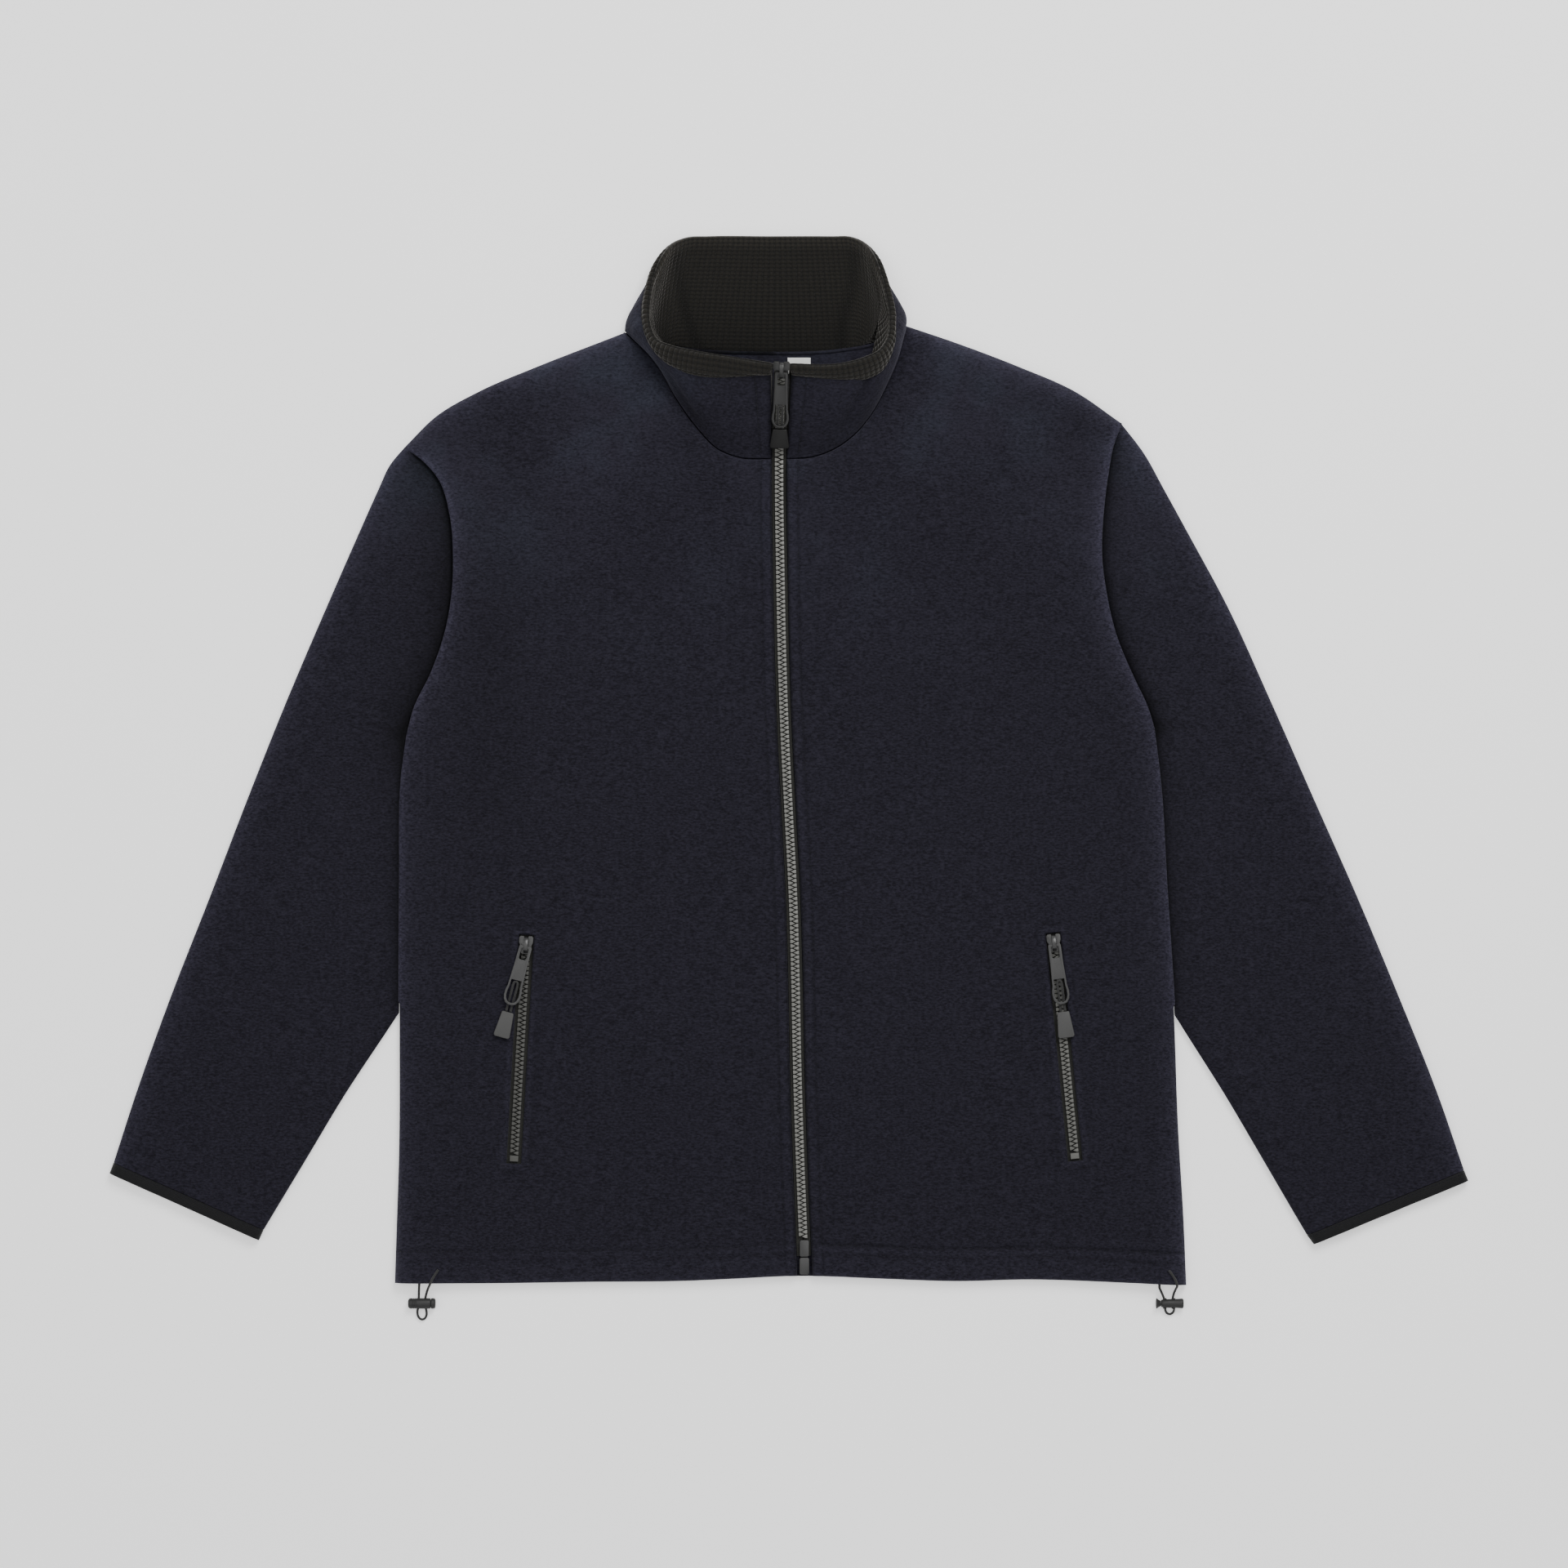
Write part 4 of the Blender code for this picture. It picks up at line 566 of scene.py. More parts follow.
def stitch_row(shape, path, up, pitch, size=1.0):
    """A row of stitches along a path: each a spindle with its ends sunk into the cloth."""
    line = Curve(path, steps=4)
    places = np.arange(pitch / 2, line.length - pitch / 3, pitch)
    at, run = line.at(places), line.along(places)
    up = np.broadcast_to(np.asarray(up, float), at.shape) if np.ndim(up) == 1 else np.stack(
        [np.interp(places, np.linspace(0, line.length, len(up)), u) for u in np.transpose(up)], -1)
    across = unit(np.cross(run, up))
    up = np.cross(across, run)
    long = pitch * 0.41
    rings = [(-1.0, 0.08, -0.42), (-0.62, 0.25, -0.08), (0, 0.31, 0.08), (0.62, 0.25, -0.08),
             (1.0, 0.08, -0.42)]
    angle = np.arange(5) * 2 * math.pi / 5
    points = [(r * size * math.cos(a), y * long, z * size + r * size * math.sin(a))
              for y, r, z in rings for a in angle]
    cells, _ = grid_cells(5, 5, True)
    caps = np.array([np.arange(5)[::-1], 20 + np.arange(5)])
    return shape.repeat(points, [cells, caps], at, np.stack([across, run, up], axis=1))


def frame_at(pin, down, normal):
    """A function from slider coordinates (x across, y down the pull, z up) to the jacket's own."""
    down, normal = np.array(down, float), np.array(normal, float)
    down /= np.linalg.norm(down)
    normal -= down * (normal @ down)
    normal /= np.linalg.norm(normal)
    turn = np.stack([np.cross(down, normal), down, normal])
    return lambda points: np.asarray(points, float) @ turn + np.array(pin)


# ---- finishes
def operator_of(operation, swapped=False):
    """A method that joins a value and a number by a Math node, the number first where they are swapped."""
    return lambda value, other: value.joined(operation, *((other, value) if swapped else (value, other)))


class Value:
    """A number carried by a shader socket. A sum written with it adds its own Math nodes."""

    def __init__(self, finish, socket):
        self.finish, self.socket = finish, socket

    def joined(self, operation, *values):
        sockets = dict(enumerate(values))
        node = self.finish.node("ShaderNodeMath", {"operation": operation}, sockets)
        return Value(self.finish, node.outputs[0])

    __add__ = __radd__ = operator_of("ADD")
    __mul__ = __rmul__ = operator_of("MULTIPLY")
    __sub__, __rsub__ = operator_of("SUBTRACT"), operator_of("SUBTRACT", swapped=True)
    __pow__ = operator_of("POWER")

    def sine(self):
        return self.joined("SINE", self)

    def size(self):
        return self.joined("ABSOLUTE", self)

    def within(self, low, high):
        """0 below low, 1 above high, a soft step between."""
        node = self.finish.node("ShaderNodeMapRange", {"interpolation_type": "SMOOTHSTEP"},
                                {"Value": self, "From Min": low, "From Max": high})
        return Value(self.finish, node.outputs[0])


class Finish:
    """A material in the making, with one method for any node."""

    def __init__(self, name, roughness, metallic=0.0, **sockets):
        self.material = bpy.data.materials.new(name)
        self.material.use_nodes = True
        self.tree = self.material.node_tree
        self.shader = self.tree.nodes["Principled BSDF"]
        self.shader.inputs["Roughness"].default_value = roughness
        self.shader.inputs["Metallic"].default_value = metallic
        for key, value in sockets.items():
            self.shader.inputs[key.replace("_", " ")].default_value = value
        self.place = self.node("ShaderNodeTexCoord").outputs["Object"]

    def node(self, kind, settings=None, sockets=None):
        made = self.tree.nodes.new(kind)
        for key, value in (settings or {}).items():
            setattr(made, key, value)
        for key, value in (sockets or {}).items():
            self.give(made.inputs[key], value)
        return made

    def give(self, socket, value):
        if isinstance(value, Value):
            value = value.socket
        if isinstance(value, bpy.types.NodeSocket):
            self.tree.links.new(value, socket)
        else:
            socket.default_value = value

    def noise(self, scale, detail=2.0, roughness=0.5, place=None):
        sockets = {"Vector": place or self.place, "Scale": scale, "Detail": detail, "Roughness": roughness}
        return Value(self, self.node("ShaderNodeTexNoise", None, sockets).outputs[0])

    def cloth(self):
        """The two places on the cloth, across and along it, in metres."""
        parts = self.node("ShaderNodeSeparateXYZ", None,
                          {0: self.node("ShaderNodeUVMap", {"uv_map": "cloth"}).outputs[0]})
        return Value(self, parts.outputs[0]), Value(self, parts.outputs[1])

    def axes(self):
        parts = self.node("ShaderNodeSeparateXYZ", None, {0: self.place})
        return [Value(self, o) for o in parts.outputs]

    def multiplied(self, vector, times, operation="MULTIPLY", more=None):
        sockets = {0: vector, 1: times} if more is None else {0: vector, 1: times, 2: more}
        return self.node("ShaderNodeVectorMath", {"operation": operation}, sockets).outputs[0]

    def colour(self, low, high, share, times=None):
        """Between two colours by a share, and then times a vector or a value."""
        settings = {"data_type": "RGBA", "clamp_factor": True}
        mixed = self.node("ShaderNodeMix", settings, {0: share, 6: (*low, 1), 7: (*high, 1)}).outputs[2]
        self.give(self.shader.inputs["Base Color"], self.multiplied(mixed, times) if times else mixed)

    def shade(self):
        """Painted light and shade: how much lighter the colour is made, as set at the points of its mesh."""
        return Value(self, self.node("ShaderNodeAttribute", {"attribute_name": "shade"}).outputs["Fac"])

    def rough(self, value):
        self.give(self.shader.inputs["Roughness"], value)

    def bump(self, height, distance, strength=1.0):
        sockets = {"Height": height, "Distance": distance * MM, "Strength": strength}
        made = self.node("ShaderNodeBump", None, sockets)
        self.give(self.shader.inputs["Normal"], made.outputs[0])


def colours():
    return bpy.context.scene.jacket_colours


def sizes():
    return bpy.context.scene.jacket_sizes


def shaded(key, share=1):
    """A colour of the jacket's, and how much of its light is kept."""
    return tuple(k * share for k in getattr(colours(), key))


def fleece_finish():
    """Brushed knit: short curls a millimetre or two across, mottled, with a soft sheen on the nap. Its colour
    carries painted light: lighter and bluer in soft patches towards the top, and the mesh's own painted light
    and shade.
    """
    c = colours()
    f = Finish("navy_fleece", 0.92, Specular_IOR_Level=0.15, Sheen_Weight=0.10, Sheen_Roughness=0.45,
               Sheen_Tint=(0.70, 0.68, 0.88, 1))
    grain = 1 / sizes().nap_size
    combed = f.multiplied(f.place, (0.5, 1.0, 0.8))
    nap = f.noise(grain, 2, 0.6, combed)
    curl = f.noise(grain * 0.45, 2, 0.6, combed)
    fine = f.noise(grain * 2.6, 1, 0.6)
    patch = f.noise(9, 2, 0.5)
    mottle = f.noise(110, 2, 0.6)
    # Painted light: the colour lifted in soft patches towards the top of the jacket, where more light falls.
    painted_chest_light = f.axes()[1].within(0.02, 0.30) * patch.within(0.38, 0.62)
    tone = ((nap - 0.5) * 2.1 + (curl - 0.5) * 0.4 + (mottle - 0.5) * 0.35 + (fine - 0.5) * 0.9 + 0.42
            + painted_chest_light * 0.25)
    # Painted light: a bluish lift in soft clouds over the painted chest light; the colour is also times one
    # plus the mesh's painted light and shade.
    cloud = f.noise(22, 2, 0.5).within(0.42, 0.66) * painted_chest_light
    times = f.multiplied(cloud, (0.16, 0.34, 0.28), "MULTIPLY_ADD", f.shade() + 1.0)
    f.colour(c.fleece_dark, c.fleece_light, tone, times)
    f.bump(nap * 0.7 + curl * 0.9 + fine * 0.2, sizes().nap_height / MM, 0.8)
    return f


def lining_finish():
    """Grid fleece: soft squares with narrow grooves between them, in rows along the collar."""
    c = colours()
    f = Finish("black_grid_fleece", 0.9, Specular_IOR_Level=0.15, Sheen_Weight=0.25, Sheen_Roughness=0.5,
               Sheen_Tint=(0.85, 0.82, 0.78, 1))
    u, v = f.cloth()
    pitch = sizes().grid_pitch
    wobble = f.noise(240, 1) * 0.5
    across = (u * (math.pi / pitch) + wobble).sine().size()
    along = (v * (math.pi / (GRID_ROW * pitch)) + wobble).sine().size()
    square = (across ** 0.5) * (along ** 0.5)
    fuzz = f.noise(900, 3, 0.6)
    row = (along ** 0.5) * 0.65 + (across ** 0.5) * 0.35
    # Darker in the grooves between the squares: painted shade, standing for the shade that falls in them. The
    # colour is then times one plus the mesh's painted light and shade.
    share = square * 0.7 + row * 0.9 + (fuzz - 0.5) * 1.5 - 0.75
    f.colour(c.lining_dark, c.lining_light, share, f.shade() + 1.0)
    f.bump(square + fuzz * 0.35, 0.7, 1.0)
    return f


def knit_finish(name, dark, light, pitch, sheen):
    """Fine knit: ribs along the cloth, crossed by its stitches."""
    f = Finish(name, 0.85, Specular_IOR_Level=0.2, Sheen_Weight=sheen, Sheen_Roughness=0.4)
    u, v = f.cloth()
    rib = (u * (2 * math.pi / (pitch * MM))).sine()
    loop = (v * (2 * math.pi / (pitch * 1.4 * MM)) + rib * 0.8).sine()
    fuzz = f.noise(1100, 2, 0.6)
    weave = rib * 0.25 + loop * 0.25 + 0.5
    f.colour(dark, light, weave * 0.6 + (fuzz - 0.5) * 1.0 + 0.15)
    f.bump(weave + fuzz * 0.4, 0.18, 0.8)
    return f


def cord_finish():
    """Braid: two sets of strands that wind round the cord opposite ways."""
    f = Finish("black_cord", 0.75, Sheen_Weight=0.12)
    u, v = f.cloth()
    turn, run = u * (2 * math.pi / MM), v * (2 * math.pi / (BRAID_PITCH * MM))
    braid = (turn * 3 + run).sine() * (turn * 3 - run).sine()
    fuzz = f.noise(1500, 2)
    f.colour(shaded("cord", 0.35), shaded("cord"), braid * 0.4 + fuzz * 0.8)
    f.bump(braid * 0.6 + fuzz * 0.4, 0.12, 0.8)
    return f


def hard_finish(name, dark, light, roughness, metallic, grain, coat=0.0):
    """Moulded or painted: cloudy colour, fine pitting, and roughness that varies with handling."""
    f = Finish(name, roughness, metallic, Specular_IOR_Level=0.5 if metallic else 0.25, Coat_Weight=coat,
               Coat_Roughness=0.3)
    cloud, pit = f.noise(220, 3, 0.6), f.noise(grain, 2, 0.55)
    f.colour(dark, light, cloud * 0.8 + pit * 0.3)
    f.rough((cloud - 0.5) * 0.25 + roughness)
    f.bump(pit, 0.05, 0.5)
    return f


def label_finish():
    """Plain woven satin ribbon: fine threads both ways, a little uneven."""
    f = Finish("white_label", 0.7, Sheen_Weight=0.2)
    x, y, _ = f.axes()
    threads = (x * (2 * math.pi / 0.00055)).sine() * 0.5 + (y * (2 * math.pi / 0.0004)).sine() * 0.5
    haze = f.noise(160, 2)
    f.colour(shaded("label", 0.86), shaded("label"), threads * 0.25 + haze * 0.4 + 0.5)
    f.bump(threads, 0.06, 0.6)
    return f


def finish_of(name):
    """The material of that name, made when it is first asked for."""
    found = bpy.data.materials.get(f"{name}_finish")
    if found:
        return found
    if name in KNITS:
        dark, share, light, *rest = KNITS[name]
        made = knit_finish(name, shaded(dark, share), shaded(light), *rest).material
    elif name in HARD:
        colour, dark, light, *rest = HARD[name]
        made = hard_finish(name, shaded(colour, dark), shaded(colour, light), *rest).material
    else:
        made = {"navy_fleece": fleece_finish, "black_grid_fleece": lining_finish, "white_label": label_finish,
                "black_cord": cord_finish}[name]().material
    made.name = f"{name}_finish"
    return made


# ---- the garment's lines
class Side:
    """The lines of one half of the garment: its edges in plan, its folds, its seams and its pocket."""

    def __init__(self, name):
        self.name, self.sign = name, -1 if name == "right" else 1
        lines = {line: Curve(points) for line, points in OUTLINE[name].items()}
        self.side, self.armhole, self.shoulder = lines["side"], lines["armhole"], lines["shoulder"]
        self.neck, self.outer, self.below = lines["neck"], lines["outer"], lines["below"]
        self.zip_edge = Curve(np.array(ZIP_LINE) + (self.sign * ZIP_HALF_OPENING, 0))
        self.leaves = self.side.nearest(self.below.points[0])
        touching = self.side.points[self.side.reach >= self.leaves]
        self.beside = touching + (self.sign * SIDE_GAP, 0)
        self.over_sleeve = [self.armhole.points, touching]
        self.folds = [self.side.points, self.shoulder.points, self.outer.points, self.beside,
                      self.below.points]
        self.seams = [self.armhole.points, self.neck.points]
        self.slit_top, self.slit_foot = (np.array(POCKETS[name][end]) for end in ("top", "bottom"))
        self.slit_long = np.linalg.norm(self.slit_top - self.slit_foot)
        self.slit_up = (self.slit_top - self.slit_foot) / self.slit_long
        self.slit_across = np.array([self.slit_up[1], -self.slit_up[0]]) * -self.sign

    def in_slit(self, points):
        """Places across the slit, growing towards the main zip, and up it from its foot."""
        return (points - self.slit_foot) @ self.slit_across, (points - self.slit_foot) @ self.slit_up

    def slit_distance(self, points):
        across, up = self.in_slit(points)
        beyond = np.maximum(np.maximum(-up, up - self.slit_long), 0)
        return np.hypot(np.maximum(np.abs(across) - POCKET_HALF_OPENING, 0), beyond)


SIDES = {name: Side(name) for name in ("right", "left")}
FOLDS = SIDES["right"].folds + SIDES["left"].folds
BACK_NECK_LINE = Curve(BACK_NECK)
HEM_LINE = Curve(HEM)


def body_level(points, side):
    """The height of a front's face away from its rounded edges: a flat top, puffed up just inside the edges,
    with the laid-in ridges and folds, the drawcord casing and the grooves and puckers of the stitching."""
    edge, seam, hem = (to_lines(points, lines)[0] for lines in (side.folds, side.seams, [HEM_LINE.points]))
    placket = to_lines(points, [side.zip_edge.points])[0]
    slit = side.slit_distance(points)
    tall = sizes().fold_height
    away = np.clip(seam / 12, 0, 1)
    level = FLAT_TOP + BODY_PUFF * puff(np.minimum(edge, seam)) + ridges(points, RIDGES) * away
    inside = smooth_step((np.minimum(edge, seam) - 3) / 12)
    inside = inside * smooth_step(hem / 30) * smooth_step(placket / 20)
    level += tall * inside * (ridges(points, FRONT_FOLDS) * smooth_step(slit / 12)
                              + 0.42 * ripple(points, 92, 0.7 * side.sign, 1.3)
                              + 0.24 * ripple(points, 37, 1.9, 4.1))
    level += 1.4 * np.clip(hem / 2.2, 0, 1) ** 0.5 * smooth_step((25.6 - hem) / 4.4)
    x, y = points[..., 0], points[..., 1]
    pucker = np.sin(x / 2.9 + 1.7 * np.sin(x / 23)) * np.sin(x / 7.7 + side.sign)
    deep = HEM_GROOVE[side.name]
    level -= deep * bell(hem, HEM_DEPTH, 0.95) * (hem < 40)
    level += (0.45 * deep + 0.3 * pucker) * bell(hem, HEM_DEPTH + 3.4, 2.4)
    level += 0.3 * pucker * bell(hem, HEM_DEPTH - 5, 4.5) - 0.32 * bell(hem, HEM_CREASE, 1.1)
    gather = np.sin(y / 2.3 + 1.9 * np.sin(y / 19)) * np.sin(y / 9.1 + 2 * side.sign)
    level += 0.28 * gather * bell(placket, ZIP_STITCH - 3, 4.5) * smooth_step(placket / 2)
    level -= 0.55 * bell(placket, ZIP_STITCH, 0.8)
    level += 0.35 * bell(slit, 0, 4) - 0.3 * bell(slit, POCKET_STITCH, 0.9)
    return level


def body_painted_light(points, side):
    """How much lighter a front's colour is painted: painted highlights where it turns over an edge, painted
    shade in grooves and seams.
    """
    edge, roll, hem, placket, neck = (to_lines(points, lines)[0] for lines in (
        side.folds, side.over_sleeve, [HEM_LINE.points], [side.zip_edge.points], [side.neck.points]))
    slit, deep = side.slit_distance(points), HEM_GROOVE[side.name]
    return (1.2 * np.exp(-np.minimum(edge, roll) / 6) + 0.7 * bell(roll, 0.8, 2.2) + 0.6 * bell(hem, 0, 3)
            + 0.16 * bell(hem, 10, 8) - 0.2 * deep * bell(hem, HEM_DEPTH, 1.3)
            + 0.2 * deep * bell(hem, HEM_DEPTH - 3.5, 1.6) - 0.25 * deep * bell(hem, HEM_CREASE, 1.2)
            - 0.22 * bell(placket, ZIP_STITCH, 1.0) + 0.15 * bell(placket, ZIP_STITCH / 2, 2.5)
            - 0.6 * bell(placket, 0, 1.0) + 0.35 * bell(neck, 0, 2.2)
            + 0.25 * bell(slit, 2.2, 1.6) - 0.15 * bell(slit, POCKET_STITCH, 1.2)
            + ridges(points, PAINTED_LIGHT_PATCHES))


def body_face(points, side):
    """The height of a front's outer face: its level, rounded down at the folds and at every cut edge."""
    edge, start = to_lines(points, side.folds)[0], MID + SEAM / 2
    return start + (body_level(points, side) - start) * turned(edge, BODY_ROUND) - body_lips(points, side)


def body_lips(points, side):
    """How far a front's cut edges are rounded down, each by its own radius."""
    zip_edge, neck, armhole, hem = (to_lines(points, [line.points])[0] for line in (
        side.zip_edge, side.neck, side.armhole, HEM_LINE))
    return (lip(zip_edge, 1.6) + lip(side.slit_distance(points), 1.5) + lip(neck, 1.3) + lip(armhole, 2.6)
            + lip(hem, 2.4))


def faces_of(points, upper, level, rounding, half_seam, cut, thickness, folds):
    """Outer and inner points of a wall over plan points, rounded down to the middle at the fold edges.

    Across a rounded edge each face follows a quarter of an ellipse; the inner one starts a thickness
    in from the edge. On a cut edge that way in is turned to run along the cut.
    """
    middle = np.mean(points.reshape(-1, 2), axis=0)
    inside = points + unit(middle - points) * 0.4
    distance = to_lines(points, folds)[0]
    gap, place = to_lines(inside, folds)
    out = (place - inside) / np.maximum(gap, 1e-9)[..., None]
    on_cut = (np.abs(cut).sum(-1, keepdims=True) > 0)
    out = np.where(on_cut, np.sign((out * cut).sum(-1, keepdims=True)) * cut, out)
    thickness = np.broadcast_to(thickness, distance.shape)
    sign = 1 if upper else -1
    start = MID + sign * half_seam
    across = np.clip(1 - distance / rounding, 0, 1)
    target = level if upper else np.zeros_like(distance)
    outer_z = start + (target - start) * turned(distance, rounding)
    shift = thickness * across**1.5
    inner_turn = turned(distance + shift - thickness, rounding - thickness * (1 - INNER_EASE))
    inner_z = start + (target - sign * thickness - start) * inner_turn
    moved = points - out * shift[..., None]
    return np.concatenate([points, outer_z[..., None]], -1), np.concatenate([moved, inner_z[..., None]], -1)


# ---- body panels
def body_edge(side, gap):
    """Points up the body's side and armhole, their places along it, and the armhole's direction there."""
    low = spread(side.side.length, NEAR_HEM, (0, 1.3, 3), gap)[:-1]
    high = spread(side.armhole.length, (0, 1.5, 3.5), NEAR_FOLD, gap)
    points = np.concatenate([side.side.at(low), side.armhole.at(high)])
    cut = np.concatenate([np.zeros((len(low), 2)), side.armhole.along(high)])
    return points, np.concatenate([low, side.side.length + high]), cut


def pinned(values, at, to, reach):
    """Moves values along their rows so that those at given columns take given values: the others between
    are spaced evenly, and from reach columns away nothing moves."""
    low, high = at[0] - reach, at[-1] + reach
    knots = [low, *at, high]
    known = np.concatenate([values[:, [low]], np.tile(to, (len(values), 1)), values[:, [high]]], axis=1)
    spots = np.arange(low, high + 1)
    weights = np.array([np.interp(spots, knots, row) for row in np.eye(len(knots))])
    moved = values.copy()
    moved[:, low:high + 1] = known @ weights
    return moved


def front_plan(side, gap):
    """A front's grid in plan: its four edges blended, and its lines drawn to the edges of the slit."""
    left, left_places, cut_left = body_edge(side, gap)
    shoulder = spread(side.shoulder.length, NEAR_FOLD, (0, 1.5, 3.5), gap)[:-1]
    neck = spread(side.neck.length, (0, 1.5, 3.5), NEAR_ZIP, gap)
    top = np.concatenate([side.shoulder.at(shoulder), side.neck.at(neck)])
    top_places = np.concatenate([shoulder, side.shoulder.length + neck])
    start, end = HEM_LINE.nearest(left[0]), HEM_LINE.nearest(side.zip_edge.points[0])
    along_hem = carried(top_places, top_places[-1], abs(end - start), 15, 11)
    hem = HEM_LINE.at(start + np.sign(end - start) * along_hem)
    hem[0], hem[-1] = left[0], (side.zip_edge.points[0][0], hem[-1][1])
    right = side.zip_edge.at(carried(left_places, left_places[-1], side.zip_edge.length, 31, 15))
    right[0], right[-1] = hem[-1], top[-1]
    plan = between_edges(hem, top, left, right, shares(hem, top), shares(left, right))
    cut = np.zeros_like(plan)
    cut[:, 0] = cut_left
    cut[0] = (1, 0)
    cut[:, -1] = (0, 1)
    cut[-1, len(shoulder):] = side.neck.along(neck)

    across, up = side.in_slit(plan)
    column = np.abs(across[len(plan) // 3]).argmin()
    row = np.abs(up[:, column] - side.slit_long / 2).argmin()
    half, long = POCKET_HALF_OPENING, side.slit_long
    first, last = (int(np.abs(across[row] - x).argmin()) for x in (-half, half))
    ease = np.array([0, 0.3, 0.8, 1.6, 2.9])
    columns = [*range(first - 4, first + 1), *range(last, last + 5)]
    moved = pinned(across, columns, [*(-half - ease[::-1]), *(half + ease)], 11)
    held = smooth_step((up + 70) / 60) * smooth_step((long + 70 - up) / 60)
    plan = plan + ((moved - across) * held)[..., None] * side.slit_across
    across, up = side.in_slit(plan)
    foot, head = (int(np.abs(up[:, first] - y).argmin()) for y in (0, long))
    rows = [*range(foot - 4, foot + 1), *range(head, head + 5)]
    moved = pinned(up.T, rows, [*-ease[::-1], *(long + ease)], 9).T
    held = smooth_step((60 - np.abs(across)) / 40)
    plan = plan + ((moved - up) * held)[..., None] * side.slit_up
    gone = np.zeros((plan.shape[0] - 1, plan.shape[1] - 1), bool)
    gone[foot:head, first:last] = True
    return plan, cut, gone


def front(side):
    """A front: a wall over its plan, open at the slit, its side and armhole rolled over the sleeve."""
    plan, cut, gone = front_plan(side, 2.9)
    level = body_level(plan, side)
    hem = to_lines(plan, [HEM_LINE.points])[0]
    thick = FLEECE + np.maximum(0, level - FLAT_TOP - 1.8)
    thick = np.maximum(thick, FLEECE + (HEM_FLEECE - FLEECE) * smooth_step((HEM_DEPTH - hem) / 2))
    outer, inner = faces_of(plan, True, level, BODY_ROUND, SEAM / 2, cut, thick, side.folds)
    outer[..., 2] -= body_lips(plan, side)
    inner[..., 2] = np.minimum(inner[..., 2], outer[..., 2] - 0.5)
    near, place = to_lines(plan, side.over_sleeve)
    roll = 2.0 * near / 1.1 * np.exp(1 - near / 1.1)
    outer[..., :2] += (place - plan) / np.maximum(near, 1e-6)[..., None] * roll[..., None]
    made = Shape().wall(outer, inner, gone).make(
        f"fleece_front_{side.name}", "navy_fleece", stands_for=(f"front_{side.name}",),
        shade=body_painted_light(plan, side))


def back():
    """The back: flat on the surface, turned up at its edges to meet the fronts."""
    right, left = SIDES["right"], SIDES["left"]
    gap = 6.0
    edge_r, places, cut_r = body_edge(right, gap)
    edge_l, places_l, cut_l = body_edge(left, gap)
    if len(edge_l) != len(edge_r):
        matched = np.interp(places * places_l[-1] / places[-1], places_l, np.arange(len(places_l)))
        pick = np.round(matched).astype(int)
        edge_l, cut_l = edge_l[pick], cut_l[pick]
    shoulder_r = right.shoulder.at(spread(right.shoulder.length, NEAR_FOLD, (0, 1.5, 5), gap))
    shoulder_l = left.shoulder.at(spread(left.shoulder.length, NEAR_FOLD, (0, 1.5, 5), gap))[::-1]
    neck = BACK_NECK_LINE.at(spread(BACK_NECK_LINE.length, (0, 1.5, 5), (0, 1.5, 5), 5.0))[1:-1]
    top = np.concatenate([shoulder_r, neck, shoulder_l])
    reach = reaches(top)
    hem = HEM_LINE.at(carried(reach, reach[-1], HEM_LINE.length, 15, 15))
    hem[0], hem[-1] = edge_r[0], edge_l[0]
    plan = between_edges(hem, top, edge_r, edge_l, shares(hem, top), shares(edge_r, edge_l))
    cut = np.zeros_like(plan)
    cut[:, 0], cut[:, -1] = cut_r, cut_l
    cut[0] = (1, 0)
    outer, inner = faces_of(plan, False, None, UNDER_ROUND, SEAM / 2, cut, FLEECE, FOLDS)
    made = Shape().wall(outer, inner).make("fleece_back", "navy_fleece", stands_for=("back_panel",))


# ---- sleeves and cuffs
def sleeve_rows(side, gap):
    """Points down a sleeve's two edges from the shoulder point to the cuff, and the armhole's direction."""
    arm_steps = spread(side.armhole.length, (0, 1.5, 3.5), NEAR_FOLD, gap)[::-1]
    normal = side.armhole.along(arm_steps)[:, ::-1] * (1, -1) * side.sign
    arm = side.armhole.at(arm_steps) + normal * SEAM
    arm[0] = side.armhole.points[-1] + side.outer.along(0) * 0.4
    down = spread(side.side.length - side.leaves, (0, 1.5, 3.5), (0, 1.5, 3.5), gap)
    beside = side.side.at(side.side.length - down) + (side.sign * SIDE_GAP, 0)
    below = side.below.at(spread(side.below.length, (0, 1.5, 3.5), NEAR_CUT, gap)[1:])
    inner = np.concatenate([arm, beside, below])
    reach = reaches(inner)
    outer = side.outer.at(np.interp(reach, [0, 14, reach[-1]], [0.4, 14, side.outer.length]))
    cut = np.concatenate([-side.armhole.along(arm_steps), np.zeros((len(beside) + len(below), 2))])
    return outer, inner, cut


def across_steps(width, between=27):
    """Shares across a sleeve of this width, close together at its two edges."""
    edge = np.array(NEAR_FOLD) * min(1, width / 42) / width
    return np.concatenate([edge, np.linspace(edge[-1], 1 - edge[-1], between + 2)[1:-1], 1 - edge[::-1]])


